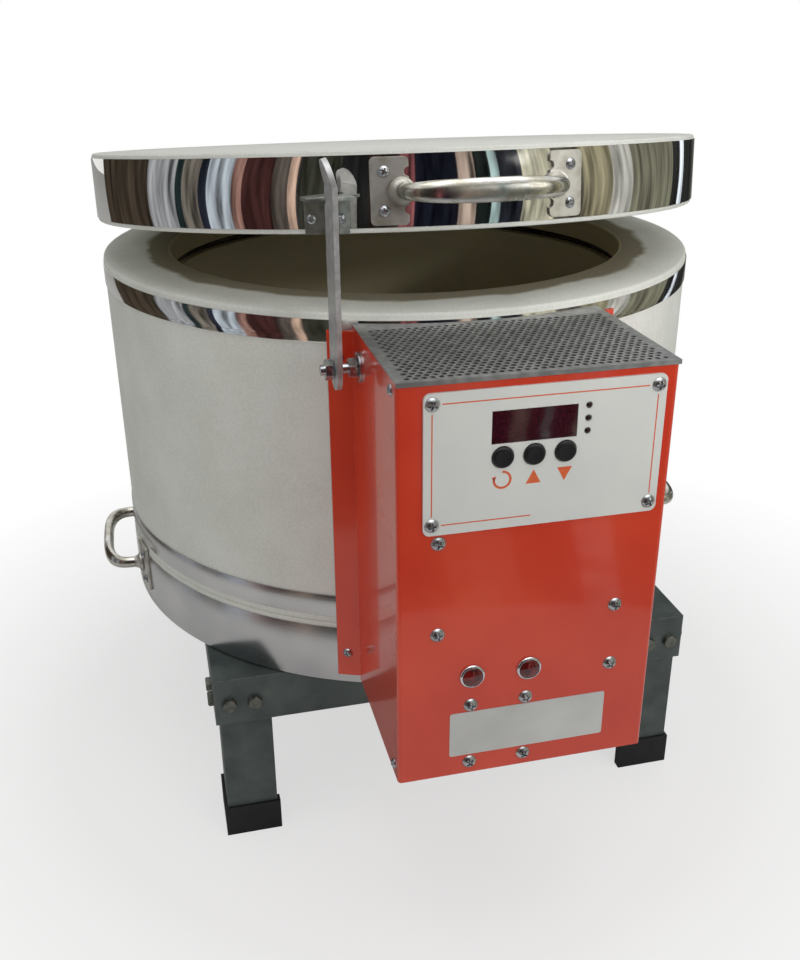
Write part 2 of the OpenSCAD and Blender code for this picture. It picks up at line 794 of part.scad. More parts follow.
module pivot_bolt() {
    end_x = arm_x - arm_t/2 - nut_h - 3;
    color("#bdbfc1") on_axis() translate([0, -pivot_y, pivot_z]) {
        translate([end_x, 0, 0]) rotate([0, 90, 0])
            cylinder(d = pivot_d, h = case_left + sheet_t - end_x + 1, $fn = 64);
        translate([case_left + sheet_t, 0, 0]) rotate([0, 90, 0]) hexagon(nut_af, 4.4);
    }
}

module nut(x) {
    translate([x, -pivot_y, pivot_z]) rotate([0, 90, 0]) difference() {
        hexagon(nut_af, nut_h);
        translate([0, 0, -1]) cylinder(d = pivot_d, h = nut_h + 2, $fn = 64);
    }
}

module pivot_washer() {
    color("#c4c6c8") on_axis() translate([case_left - washer_t, -pivot_y, pivot_z])
        rotate([0, 90, 0]) difference() {
            cylinder(d = washer_d, h = washer_t);
            translate([0, 0, -1]) cylinder(d = pivot_d + 0.1, h = washer_t + 2, $fn = 64);
        }
}

module pivot_nuts() {
    color("#bdbfc1") on_axis() {
        nut(case_left - washer_t - nut_h);
        nut(arm_x - arm_t/2 - clear - nut_h);
    }
}

// Lid, its band, catch and handle, drawn closed and tilted up on the pin

module lid_slab() {
    color("#d9d8c8") on_axis() ajar() difference() {
        translate([0, 0, lid_z]) cylinder(r = body_r, h = lid_t, $fn = fine);
        lid_screw_places() bore();
    }
}

module lid_band() {
    color("#c9ccd0") on_axis() ajar() difference() {
        translate([0, 0, lid_band_z]) tube(body_r, band_r, lid_band_w);
        lid_screw_places() bore();
    }
}

module lid_screw_places() {
    translate([0, 0, handle_z]) plate_screw_places() children();
    catch_screw_places() children();
    leaf_screw_places() children();
}

module catch_screw_places() {
    for (s = [-1, 1]) translate([0, 0, catch_z - catch_h/2 - 2]) facing(asin(catch_x/band_r) + s*2.2)
        outward() translate([0, 0, band_r + 0.1 + catch_t]) children();
}

module leaf_screw_places() {
    for (s = [-1, 1]) for (dz = [16, 34]) translate([0, 0, lid_z + dz]) facing(180 + s*8) outward()
        translate([0, 0, band_r + hinge_t - 0.3]) children();
}

// Half of a trapezoid bow with rounded corners: t runs from 0 at one end to 180 at the other
function bow(t) = [-cos(t)/max(0.001, abs(cos(t)))*pow(abs(cos(t)), 2/3.2)*grip_span/2,
    pow(sin(t), 2/3.2)*grip_reach];
function grip_ring(t, sides) =
    let (a = bow(max(t - 1, 0)), b = bow(min(t + 1, 180)), d = (b - a)/norm(b - a), p = bow(t),
        h = grip_end_h + (grip_mid_h - grip_end_h)*pow(sin(t), 2))
    [for (k = [0:sides - 1]) let (s = grip_depth/2*cos(360*k/sides))
        [p[0] - d[1]*s, -p[1] - d[0]*s, h/2*sin(360*k/sides)]];

// Oval bar swept along the bow, its ends sunk into the collars of the two plates
module grip() {
    sides = 14;
    steps = 30;
    rings = [for (i = [0:steps]) grip_ring(180*i/steps, sides)];
    points = [for (ring = rings) each ring];
    function at(i, k) = i*sides + k%sides;
    polyhedron(points = points, faces = concat(
        [for (i = [0:steps - 1]) for (k = [0:sides - 1]) [at(i, k), at(i + 1, k + 1), at(i + 1, k)]],
        [for (i = [0:steps - 1]) for (k = [0:sides - 1]) [at(i, k), at(i, k + 1), at(i + 1, k + 1)]],
        [[for (k = [0:sides - 1]) sides - 1 - k]],
        [[for (k = [0:sides - 1]) steps*sides + k]]
    ), convexity = 4);
}

// Angle round the kiln from a handle's middle to one of its collars
function collar_angle() = asin(grip_span/2/band_r);

// Plate with a scalloped inner edge, curved to the band, and the collar that holds the grip
module grip_plate(side) {
    bite = 5.6;
    facing(side*collar_angle()) {
        intersection() {
            tube_section(band_r + 0.1, plate_t);
            outward() translate([side*(plate_w/2 - 4.6), 0, band_r - 5]) linear_extrude(12) difference() {
                rounded_square(plate_w, plate_h, 3);
                for (s = [-1, 1]) translate([-side*plate_w/2, s*11]) circle(r = bite*0.5, $fn = 32);
            }
        }
    }
    difference() {
        translate([side*grip_span/2, -grip_foot(), 0]) outward() translate([0, 0, -6]) rotate_extrude($fn = 48)
            difference() {
                square([collar_d/2, 6]);
                translate([collar_d/2 + 0.4, 6]) circle(r = 3.6, $fn = 48);
            }
        cylinder(r = band_r + 0.1, h = 60, center = true, $fn = fine);
    }
}

module tube_section(r, t) {
    translate([0, 0, -30]) difference() {
        cylinder(r = r + t, h = 60, $fn = fine);
        translate([0, 0, -1]) cylinder(r = r, h = 62, $fn = fine);
        translate([-300, 0, -1]) cube([600, 300, 62]);
    }
}

// From the kiln's axis to the face of the collars, which the grip stands on
function grip_foot() = sqrt(band_r*band_r - grip_span*grip_span/4) + plate_t + 5;

module placed_grip() {
    translate([0, -grip_foot() - clear, 0]) grip();
}

module plate_screw_places() {
    for (side = [-1, 1]) for (s = [-1, 1])
        facing(side*collar_angle()) outward()
            translate([side*(plate_w/2 - 1.5), s*plate_h*0.29, band_r + plate_t + 0.1]) children();
}

module lid_grip() {
    color("#b4b2a8") on_axis() ajar() translate([0, 0, handle_z]) placed_grip();
}

module lid_grip_plates() {
    color("#b4b2a8") on_axis() ajar() translate([0, 0, handle_z]) difference() {
        for (side = [-1, 1]) grip_plate(side);
        plate_screw_places() bore();
    }
}

module side_grip(angle) {
    color("#a8a69c") on_axis() translate([0, 0, side_handle_z]) facing(angle) placed_grip();
}

module side_grip_plates() {
    color("#a8a69c") on_axis() translate([0, 0, side_handle_z])
        for (angle = [-90, 90]) facing(angle) difference() {
            for (side = [-1, 1]) grip_plate(side);
            plate_screw_places() bore();
        }
}

// Angle bracket on the lid's band, with a slot in its shelf that the arm stands in
module catch_bracket() {
    color("#aab0b2") on_axis() ajar() {
        difference() {
            translate([0, 0, catch_z - catch_h]) linear_extrude(catch_h) catch_back();
            catch_screw_places() bore();
        }
        translate([0, 0, catch_z - catch_t]) linear_extrude(catch_t) difference() {
            translate([catch_x - catch_w/2, -catch_front]) square([catch_w, 40]);
            circle(r = band_r + 0.1, $fn = fine);
            translate([arm_x - catch_slot_w/2, -catch_front - 1]) square([catch_slot_w, catch_front - catch_slot_back + 1]);
            translate([-200, -180]) square([400, 200]);
        }
    }
}

module catch_back() {
    intersection() {
        difference() {
            circle(r = band_r + 0.1 + catch_t, $fn = fine);
            circle(r = band_r + 0.1, $fn = fine);
        }
        translate([catch_x - catch_w/2 + 2, -body_r - 10]) square([catch_w - 4, 80]);
    }
}

module lid_screws() {
    color("#c8cacc") on_axis() ajar() {
        translate([0, 0, handle_z]) plate_screw_places() screw(12, small_head_d);
        catch_screw_places() screw(12, 6.4);
        leaf_screw_places() screw(14, small_head_d);
    }
}

module side_handle_screw_places() {
    translate([0, 0, side_handle_z]) for (angle = [-90, 90]) facing(angle) plate_screw_places() children();
}

module hinge_screw_places() {
    for (s = [-1, 1]) for (dz = [30, 52]) translate([0, 0, rim_z - dz]) facing(180 + s*9) outward()
        translate([0, 0, band_r + hinge_t - 0.3]) children();
}

module body_screws() {
    color("#c8cacc") on_axis() {
        side_handle_screw_places() screw(12, small_head_d);
        hinge_screw_places() screw(14, small_head_d);
    }
}

// Curved steel plate on the back of the wall or the lid
module hinge_plate(z, h, half_angle) {
    translate([0, 0, z]) linear_extrude(h) intersection() {
        difference() {
            circle(r = band_r + hinge_t - 0.3, $fn = fine);
            circle(r = band_r + 0.1, $fn = fine);
        }
        polygon([[0, 0], [-tan(half_angle)*300, 300], [tan(half_angle)*300, 300]]);
    }
}

// Ear round the pin, joined to its plate: the plate lies on one side of the pin
module hinge_ear(x, drop_low, drop_high) {
    plate_y = band_r + 0.4 - hinge_y;
    translate([x - hinge_t/2, hinge_y, hinge_z]) rotate([90, 0, 90]) linear_extrude(hinge_t) difference() {
        union() {
            circle(r = knuckle_r, $fn = 64);
            polygon([[plate_y, drop_low], [plate_y, drop_high], [0, knuckle_r*sign(drop_high)],
                [knuckle_r*0.7, knuckle_r*sign(drop_high)*0.7], [-knuckle_r*0.3, 0]]);
        }
        circle(d = hinge_pin_d + 2*run_clear, $fn = 64);
    }
}

module hinge_base() {
    color("#b0b3b6") on_axis() {
        difference() {
            hinge_plate(rim_z - hinge_base_drop, hinge_base_h, 12);
            hinge_screw_places() bore();
        }
        for (s = [-1, 1]) hinge_ear(s*(ear_x + hinge_t/2), -hinge_rise - 5, -hinge_rise - 24);
    }
}

module hinge_leaf() {
    color("#b0b3b6") on_axis() ajar() {
        difference() {
            hinge_plate(lid_z + hinge_leaf_rise, hinge_leaf_h, 11);
            leaf_screw_places() bore();
        }
        for (s = [-1, 1]) hinge_ear(s*(ear_x - 0.6 - hinge_t/2), lid_z + hinge_leaf_rise - hinge_z, lid_z + hinge_leaf_rise + 21 - hinge_z);
    }
}

module hinge_pin() {
    color("#c6c8ca") on_axis() translate([-hinge_w/2 - 2, hinge_y, hinge_z]) rotate([0, 90, 0]) {
        cylinder(d = hinge_pin_d, h = hinge_w + 4, $fn = 64);
        translate([0, 0, -2.4]) cylinder(d = hinge_pin_d + 4, h = 2.4, $fn = 64);
    }
}

// Stand of angle iron: rails mitred into a square, legs inside their corners

module angle_profile() {
    square([angle_w, angle_t]);
    square([angle_t, angle_w]);
}

module rail_bolt_places() {
    for (side = [-1, 1]) for (d = [bolt_near, bolt_far])
        translate([side*(leg_half - d), -stand_half, bolt_z]) outward() children();
}

module rail() {
    difference() {
        translate([-stand_half, -stand_half, rail_z]) rotate([0, 90, 0]) linear_extrude(2*stand_half)
            angle_profile();
        for (side = [-1, 1]) translate([side*stand_half, -stand_half, 0]) rotate([0, 0, side*45])
            translate([side > 0 ? 0 : -100, -100, 0]) cube([100, 200, 2*stand_h]);
        rail_bolt_places() translate([0, 0, -10]) cylinder(d = bolt_d + 0.3, h = 20, $fn = 32);
    }
}

module placed_rail(angle) {
    color("#4e5a57") on_stand() facing(angle) rail();
}

module leg(sx, sy) {
    color("#4e5a57") on_stand() difference() {
        mirror([sx > 0 ? 1 : 0, 0, 0]) mirror([0, sy > 0 ? 1 : 0, 0])
            translate([-leg_half, -leg_half, cap_t]) linear_extrude(stand_h - angle_t - cap_t) angle_profile();
        for (angle = [0, 90, 180, 270]) facing(angle) rail_bolt_places()
            translate([0, 0, -10]) cylinder(d = bolt_d + 0.3, h = 20, $fn = 32);
    }
}

// Plastic cap over the foot of each leg
module foot_cap(sx, sy) {
    mirror([sx > 0 ? 1 : 0, 0, 0]) mirror([0, sy > 0 ? 1 : 0, 0]) difference() {
        translate([-leg_half - cap_t, -leg_half - cap_t, 0]) linear_extrude(cap_h) {
            square([angle_w + 2*cap_t, angle_t + 2*cap_t]);
            square([angle_t + 2*cap_t, angle_w + 2*cap_t]);
        }
        translate([-leg_half, -leg_half, cap_t]) linear_extrude(cap_h) angle_profile();
    }
}

module foot_caps() {
    color("#15161a") on_stand() for (sx = [-1, 1]) for (sy = [-1, 1]) foot_cap(sx, sy);
}

module stand_bolts() {
    color("#b5b3a4") on_stand() for (angle = [0, 90, 180, 270]) facing(angle) rail_bolt_places() {
        hexagon(nut_af, 4.2);
        translate([0, 0, -2*angle_t - 0.5]) cylinder(d = bolt_d, h = 2*angle_t + 1, $fn = 32);
    }
}

floor_slab();
floor_band();
wall_ring();
upper_band();
lower_band();
band_clamps();
element(0);  // upper_element
element(1);  // middle_element
element(2);  // lower_element
thermocouple();
control_case();
case_top();
case_bottom();
case_screws();
front_screws();
cord_gland();
control_panel();
panel_screws();
display_window();
indicator_lamps();
push_button(-1);  // start_button
push_button(0);  // raise_button
push_button(1);  // lower_button
circuit_board();
board_spacers();
relay();
terminal_block();
transformer();
pilot_bezels();
pilot_lenses();
blank_label();
prop_arm();
pivot_bolt();
pivot_washer();
pivot_nuts();
lid_slab();
lid_band();
lid_grip();
lid_grip_plates();
catch_bracket();
lid_screws();
hinge_base();
hinge_leaf();
hinge_pin();
side_grip(-90);  // left_grip
side_grip(90);  // right_grip
side_grip_plates();
body_screws();
leg(-1, -1);  // front_left_leg
leg(1, -1);  // front_right_leg
leg(-1, 1);  // back_left_leg
leg(1, 1);  // back_right_leg
placed_rail(0);  // front_rail
placed_rail(180);  // back_rail
placed_rail(-90);  // left_rail
placed_rail(90);  // right_rail
foot_caps();
stand_bolts();
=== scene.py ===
import json
from math import asin, cos, degrees, hypot, pi, radians, sin, sqrt

import bmesh
import bpy
from mathutils import Matrix, Vector


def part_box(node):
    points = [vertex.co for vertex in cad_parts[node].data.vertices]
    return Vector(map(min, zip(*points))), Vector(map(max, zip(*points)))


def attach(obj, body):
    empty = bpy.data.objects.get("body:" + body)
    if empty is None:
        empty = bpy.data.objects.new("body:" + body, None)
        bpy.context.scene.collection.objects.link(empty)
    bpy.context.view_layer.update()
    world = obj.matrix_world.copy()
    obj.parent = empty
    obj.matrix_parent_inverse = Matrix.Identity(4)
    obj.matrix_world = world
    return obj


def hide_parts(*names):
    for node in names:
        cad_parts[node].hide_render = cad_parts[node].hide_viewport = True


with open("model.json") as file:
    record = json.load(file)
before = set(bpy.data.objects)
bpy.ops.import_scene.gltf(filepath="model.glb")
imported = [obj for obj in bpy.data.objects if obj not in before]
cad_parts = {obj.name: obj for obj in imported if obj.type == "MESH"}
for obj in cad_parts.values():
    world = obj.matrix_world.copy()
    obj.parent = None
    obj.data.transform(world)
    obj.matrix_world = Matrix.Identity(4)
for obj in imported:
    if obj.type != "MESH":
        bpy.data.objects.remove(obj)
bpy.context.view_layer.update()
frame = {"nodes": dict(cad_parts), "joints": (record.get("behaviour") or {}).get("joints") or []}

# Studio
# A pale floor under a white sky, three soft lamps and a narrow one aimed into the gap under the lid. A
# ring of glowing cards that only reflections see gives the polished steel a painted room to mirror.

MM = 0.001
scene = bpy.context.scene
scene.view_settings.view_transform = "Standard"

CAMERA_AT = Vector((-0.1987, -0.79394, 0.5912))
CAMERA_TURN, CAMERA_PITCH, CAMERA_ROLL = -13.56, 24.37, -0.37
CAMERA_LENS = 39.635
KILN_MIDDLE = Vector((0, 0, 0.28))
LID_GAP = Vector((-0.02, -0.04, 0.385))


def linear(colour):
    """Linear RGBA of an sRGB hex value."""
    parts = [int(colour[i:i + 2], 16)/255 for i in (1, 3, 5)]
    return [c/12.92 if c <= 0.04045 else ((c + 0.055)/1.055)**2.4 for c in parts] + [1]


def add_node(tree, kind, inputs=None, **settings):
    """Adds a node. An input that is a socket or a node is linked, and any other is set as a value."""
    node = tree.nodes.new("ShaderNode" + kind)
    for name, value in settings.items():
        setattr(node, name, value)
    for name, value in (inputs or {}).items():
        if isinstance(value, bpy.types.Node):
            value = value.outputs[0]
        if isinstance(value, bpy.types.NodeSocket):
            tree.links.new(value, node.inputs[name])
        else:
            node.inputs[name].default_value = value
    return node


camera = bpy.data.objects.new("photo_camera", bpy.data.cameras.new("photo_camera"))
camera.data.lens = CAMERA_LENS
camera.data.clip_start = 0.01
camera.matrix_world = (
    Matrix.Translation(CAMERA_AT)
    @ Matrix.Rotation(radians(CAMERA_TURN), 4, "Z")
    @ Matrix.Rotation(radians(90 - CAMERA_PITCH), 4, "X")
    @ Matrix.Rotation(radians(CAMERA_ROLL), 4, "Z")
)
scene.collection.objects.link(camera)
scene.camera = camera


def add_lamp(name, kind, place, target, power):
    """A lamp at a place, aimed at a target."""
    lamp = bpy.data.objects.new(name, bpy.data.lights.new(name, kind))
    lamp.data.energy = power
    lamp.location = place
    lamp.rotation_euler = (target - lamp.location).to_track_quat("-Z", "Y").to_euler()
    scene.collection.objects.link(lamp)
    return lamp


for name, place, size, power in (
        ("top_lamp", (0.15, -0.35, 2.6), 2.0, 20),
        ("key_lamp", (0.95, -1.95, 1.22), 1.0, 6.5),
        ("fill_lamp", (-2.2, -1.0, 1.5), 1.8, 4)):
    add_lamp(name, "AREA", place, KILN_MIDDLE, power).data.size = size

gap_lamp = add_lamp("gap_lamp", "SPOT", (0.95, -1.45, 0.98), LID_GAP, 70)
gap_lamp.data.shadow_soft_size = 0.15
gap_lamp.data.spot_size = radians(11)
gap_lamp.data.spot_blend = 1.0

world = bpy.data.worlds.new("white_room")
scene.world = world
world.use_nodes = True
sky = world.node_tree
rays = add_node(sky, "LightPath")
seen = add_node(sky, "Math", {0: rays.outputs["Is Camera Ray"], 1: rays.outputs["Is Glossy Ray"]},
                operation="MAXIMUM")
seen = add_node(sky, "Math", {0: seen, 1: rays.outputs["Is Transmission Ray"]}, operation="MAXIMUM")
level = add_node(sky, "MapRange", {"Value": seen, "To Min": 0.30, "To Max": 1.0})
sky.nodes["Background"].inputs["Color"].default_value = (1, 1, 1, 1)
sky.links.new(level.outputs[0], sky.nodes["Background"].inputs["Strength"])


def new_finish(name, colour, roughness, metallic=0.0):
    """A material of one colour, its nodes, and the place on the object that its patterns read."""
    material = bpy.data.materials.new(name)
    material.use_nodes = True
    tree = material.node_tree
    shader = tree.nodes["Principled BSDF"]
    shader.inputs["Base Color"].default_value = linear(colour)
    shader.inputs["Roughness"].default_value = roughness
    shader.inputs["Metallic"].default_value = metallic
    return material, tree, add_node(tree, "TexCoord").outputs["Object"]


floor_mesh = bmesh.new()
bmesh.ops.create_grid(floor_mesh, x_segments=1, y_segments=1, size=6)
floor_data = bpy.data.meshes.new("floor")
floor_mesh.to_mesh(floor_data)
floor = bpy.data.objects.new("floor", floor_data)
paper_finish, paper, paper_spot = new_finish("floor_paper", "#f4f4f2", 0.9)
floor.data.materials.append(paper_finish)
scene.collection.objects.link(floor)
paper_rays = add_node(paper, "LightPath")
paper_glow = add_node(paper, "Emission", {"Color": (1, 1, 1, 1), "Strength": 1.0})
paper_away = add_node(paper, "VectorMath", {0: paper_spot}, operation="LENGTH").outputs["Value"]
# Metres from the middle between which the floor's own glow rises to full, and its least share
GLOW_FROM, GLOW_TO, GLOW_LEAST = 0.30, 0.62, 0.62
paper_share = add_node(paper, "MapRange", {
    "Value": paper_away, "From Min": GLOW_FROM, "From Max": GLOW_TO, "To Min": GLOW_LEAST, "To Max": 1.0})
paper_mix = add_node(paper, "MixShader", {
    0: add_node(paper, "Math", {0: paper_rays.outputs["Is Camera Ray"], 1: paper_share},
                operation="MULTIPLY"),
    1: paper.nodes["Principled BSDF"], 2: paper_glow})
paper.links.new(paper_mix.outputs[0], paper.nodes["Material Output"].inputs["Surface"])

# Distance of the cards' feet and of the cards, their height, and how far the feet lie above the floor
CARD_NEAR, CARD_RING, CARD_H, CARD_LIFT = 0.72, 1.05, 1.2, 0.002
# Start angle of each card from the front, and the colour it glows in as a painted reflection; the last only
# ends the ring
CARDS = [
    (-137, "#3a332b"), (-105, "#8f9296"), (-91, "#1f2a2c"), (-88, "#6f6a63"), (-81, "#1c1f29"),
    (-78, "#9aa3ad"), (-68, "#8a6a62"), (-64, "#3a2322"), (-54, "#4a4440"), (-48.5, "#b79c8c"),
    (-45.5, "#33322f"), (-44, "#34352e"), (-31, "#1b1c1c"), (-22, "#2a2220"), (-12, "#7a4a4c"),
    (-7, "#14161f"), (7, "#9b8b80"), (13, "#161c1a"), (18, "#9db5b5"), (21, "#23262e"),
    (29, "#b5b39f"), (41, "#55524b"), (52, "#85806a"), (65, "#a9a9a4"), (75, "#6a6a5c"),
    (102, "#2a2a2a"), (109, "#dfe8f2"), (113, "#2a2a2a"), (128, "#5a5a55"), (150, ""),
]


def reflection_card(index):
    """A card between two angles from the front, with its foot on the floor. It glows in streaks of its
    colour, a painted reflection that only reflections see.
    """
    (start, colour), end = CARDS[index], CARDS[index + 1][0]
    bm = bmesh.new()
    left, right = [[bm.verts.new((sin(radians(a))*r, -cos(radians(a))*r, z)) for a, r, z in (
        (edge, CARD_NEAR, CARD_LIFT), (edge, CARD_RING, CARD_LIFT), (edge, CARD_RING, CARD_H))]
        for edge in (start, end)]
    for i in range(2):
        bm.faces.new((left[i], right[i], right[i + 1], left[i + 1]))
    data = bpy.data.meshes.new(f"card_{index}")
    bm.to_mesh(data)
    card = bpy.data.objects.new(f"card_{index}", data)
    paint, tree, where = new_finish(f"card_{index}", "#000000", 1.0)
    glow = tree.nodes["Principled BSDF"].inputs
    glow["Specular IOR Level"].default_value = 0
    glow["Emission Color"].default_value = linear(colour)
    # Painted reflection: the card's glow, in upright streaks, shows only in the steel and the enamel
    upright = add_node(tree, "Mapping", {"Vector": where, "Scale": (1, 1, 0.06)})
    folds = add_node(tree, "TexNoise", {"Vector": upright, "Scale": 22.0, "Detail": 6.0})
    level = add_node(tree, "MapRange", {
        "Value": folds, "From Min": 0.3, "From Max": 0.7, "To Min": 0.25, "To Max": 2.4})
    tree.links.new(level.outputs[0], glow["Emission Strength"])
    card.data.materials.append(paint)
    scene.collection.objects.link(card)
    card.visible_camera = False
    card.visible_diffuse = False
    card.visible_shadow = False
    card.visible_transmission = False


for index in range(len(CARDS) - 1):
    reflection_card(index)

# Stand
# Four mitred rails and four legs of 38 mm steel angle, dip-painted dark grey-green. The paint has pooled
# in soft patches and is rubbed to bare steel along the outer edges. Painted hex screws hold it together.

KILN_AT = Vector((0, sum(c.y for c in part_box("floor_band"))/2, 0))
ON_KILN = Matrix.Translation(KILN_AT)


def corners(node):
    """Lowest and highest corner of a CAD node, in millimetres about the kiln's axis."""
    return [(c - KILN_AT)/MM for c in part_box(node)]


def middle(node):
    """Middle of a CAD node's box, in millimetres about the kiln's axis."""
    low, high = corners(node)
    return (low + high)/2


def per_mm(size):
    """Scale of a pattern whose features are this many millimetres across."""
    return 1/(size*MM)


def dress(material, *nodes):
    """Gives CAD nodes their finish. Their meshes stay as they are."""
    for node in nodes:
        for slot in frame["nodes"][node].material_slots:
            slot.material = material


def two_tone(tree, pattern, low, high, first, second):
    """Colour that goes from one hex value or socket to another as the pattern rises."""
    first, second = [linear(c) if isinstance(c, str) else c for c in (first, second)]
    share = add_node(tree, "MapRange", {"Value": pattern, "From Min": low, "From Max": high})
    return add_node(tree, "Mix", {0: share, 6: first, 7: second}, data_type="RGBA").outputs[2]


def mottle(tree, pattern, low, high, first, second):
    """Gives the surface its colour in two tones."""
    tone = two_tone(tree, pattern, low, high, first, second)
    tree.links.new(tone, tree.nodes["Principled BSDF"].inputs["Base Color"])


def vary_gloss(tree, pattern, smooth, rough, low=0.0, high=1.0):
    """Roughness that goes from smooth to rough as the pattern rises from low to high."""
    level = add_node(tree, "MapRange", {
        "Value": pattern, "From Min": low, "From Max": high, "To Min": smooth, "To Max": rough})
    tree.links.new(level.outputs[0], tree.nodes["Principled BSDF"].inputs["Roughness"])


def rubbed_edges(tree, radius):
    """The normal with edges rounded, and a value of 1 along outside edges and 0 elsewhere."""
    rounded = add_node(tree, "Bevel", {"Radius": radius*MM}, samples=4)
    flat = add_node(tree, "NewGeometry")
    along = add_node(tree, "VectorMath", {0: rounded, 1: flat.outputs["Normal"]}, operation="DOT_PRODUCT")
    return rounded, add_node(tree, "MapRange", {
        "Value": along.outputs["Value"], "From Min": 0.97, "From Max": 0.80})


def relief(tree, height, strength, depth, normal=None):
    """Bump of this real depth in millimetres, from a height pattern."""
    inputs = {"Height": height, "Strength": strength, "Distance": depth*MM}
    if normal is not None:
        inputs["Normal"] = normal
    bump = add_node(tree, "Bump", inputs)
    tree.links.new(bump.outputs[0], tree.nodes["Principled BSDF"].inputs["Normal"])


def painted_angle():
    """Dipped enamel on mill steel: half-gloss, patchy where it ran, worn bright on the corners."""
    material, tree, where = new_finish("dipped_steel_paint", "#4a5654", 0.42)
    patches = add_node(tree, "TexNoise", {"Vector": where, "Scale": per_mm(28), "Detail": 5.0})
    orange_peel = add_node(tree, "TexNoise", {"Vector": where, "Scale": per_mm(2.2), "Detail": 2.0})
    paint = two_tone(tree, patches, 0.35, 0.7, "#3f4a48", "#5a6663")
    normal, edge = rubbed_edges(tree, 1.2)
    chips = add_node(tree, "TexNoise", {"Vector": where, "Scale": per_mm(5), "Detail": 6.0})
    worn = add_node(tree, "Math", {0: edge, 1: chips}, operation="MULTIPLY")
    mottle(tree, worn, 0.38, 0.55, paint, "#8b8f8a")
    relief(tree, orange_peel, 0.25, 0.3, normal)
    return material


dress(painted_angle(), "front_left_leg", "front_right_leg", "back_left_leg", "back_right_leg",
      "front_rail", "back_rail", "left_rail", "right_rail")


def zinc_plate(name, light, dark, roughness, grain=3.5, metallic=1.0):
    """Bright zinc on steel: a cool grey metal, faintly clouded, with a softer gloss than chrome."""
    material, tree, where = new_finish(name, light, roughness, metallic)
    clouds = add_node(tree, "TexNoise", {"Vector": where, "Scale": per_mm(grain), "Detail": 4.0})
    mottle(tree, clouds, 0.35, 0.7, dark, light)
    vary_gloss(tree, clouds, roughness*0.7, roughness*1.4)
    relief(tree, clouds, 0.2, 0.15, rubbed_edges(tree, 0.4)[0])
    return material


ZINC = zinc_plate("bright_zinc", "#cfd2d4", "#a9adb2", 0.24)


def turned(outline, steps):
    """An outline of (radius, height) spun round Z, closed or with both ends on the axis."""
    bm = bmesh.new()
    points = [bm.verts.new((r, 0, z)) for r, z in outline]
    ends = list(zip(points, points[1:]))
    if outline[0][0] > 0 or outline[-1][0] > 0:
        ends.append((points[-1], points[0]))
    edges = [bm.edges.new(pair) for pair in ends]
    bmesh.ops.spin(bm, geom=points + edges, axis=(0, 0, 1), cent=(0, 0, 0), angle=2*pi, steps=steps,
                   use_merge=True)
    bmesh.ops.remove_doubles(bm, verts=bm.verts, dist=0.001)
    bmesh.ops.recalc_face_normals(bm, faces=bm.faces)
    return bm


def soften(bm, width, where=lambda edge: True, segments=3, angle=30):
    """Rounds the sharp edges that pass the test, by this many millimetres."""
    sharp = [e for e in bm.edges
             if e.is_manifold and e.calc_face_angle(0) > radians(angle) and where(e)]
    bmesh.ops.bevel(bm, geom=sharp, offset=width, offset_type="OFFSET", segments=segments, profile=0.5,
                    affect="EDGES", material=-1, clamp_overlap=True)


def cut(bm, tool, operation="DIFFERENCE"):
    """Boolean of two meshes, which are used up."""
    pair = []
    for part in (bm, tool):
        data = bpy.data.meshes.new("cutting")
        part.to_mesh(data)
        part.free()
        pair.append(bpy.data.objects.new("cutting", data))
        scene.collection.objects.link(pair[-1])
    modifier = pair[0].modifiers.new("cut", "BOOLEAN")
    modifier.object = pair[1]
    modifier.operation = operation
    modifier.solver = "EXACT"
    bpy.context.view_layer.update()
    done = bmesh.new()
    done.from_mesh(pair[0].evaluated_get(bpy.context.evaluated_depsgraph_get()).to_mesh())
    for obj in pair:
        data = obj.data
        bpy.data.objects.remove(obj)
        bpy.data.meshes.remove(data)
    return done


def join(bm, other, place=Matrix()):
    """Adds a copy of another mesh at a place, in millimetres."""
    data = bpy.data.meshes.new("joining")
    other.to_mesh(data)
    data.transform(place)
    bm.from_mesh(data)
    bpy.data.meshes.remove(data)


def rod(bm, across, length, place=Matrix(), segments=16):
    """Adds a round bar, centred on a place and lying along its Z."""
    bmesh.ops.create_cone(bm, cap_ends=True, segments=segments, radius1=across/2, radius2=across/2,
                          depth=length, matrix=place)


SMOOTH_BELOW = 35


def show(name, bm, *materials, place=ON_KILN):
    """The object of a mesh drawn in millimetres, in its place, with smooth curves and crisp edges."""
    bm.transform(place @ Matrix.Scale(MM, 4))
    data = bpy.data.meshes.new(name)
    bm.to_mesh(data)
    bm.free()
    for material in materials:
        data.materials.append(material)
    data.shade_smooth()
    data.set_sharp_from_angle(angle=radians(SMOOTH_BELOW))
    piece = bpy.data.objects.new(name, data)
    scene.collection.objects.link(piece)
    return piece


HEX_AF, SHOWN_AF, HEX_H = 11.1, 9.6, 4.2
SHANK_D, SHANK_LENGTH, SHANK_IN_HEAD = 6.2, 7, 0.1
ANGLE_STEEL_T = 3.2
STAND_AT = Matrix.Translation((sum(c.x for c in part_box("left_rail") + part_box("right_rail"))/4,
                               sum(c.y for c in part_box("front_rail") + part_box("back_rail"))/4, 0))
stand_half = (corners("right_rail")[1].x - corners("left_rail")[0].x)/2
bolt_z = corners("stand_bolts")[0].z + HEX_AF/2
leg_half = stand_half - ANGLE_STEEL_T
BOLTS_FROM_CORNER = (7.6, 26.4)


def hex_head(across, height):
    """Hexagon with its top corners turned off, on the plane z = 0."""
    prism = bmesh.new()
    rod(prism, across/cos(pi/6), height, Matrix.Translation((0, 0, height/2)), 6)
    corner, flat, over = across*0.62, across*0.47, height + 0.02
    turn = turned([(0, -1), (corner, -1), (corner, height*0.72), (flat, over), (0, over)], 48)
    return cut(prism, turn, "INTERSECT")


def out_of(angle, x, z, reach):
    """A place whose +Z points out of the kiln at this angle from the front, in degrees."""
    return (Matrix.Rotation(radians(angle), 4, "Z") @ Matrix.Translation((x, -reach, z))
            @ Matrix.Rotation(pi/2, 4, "X"))


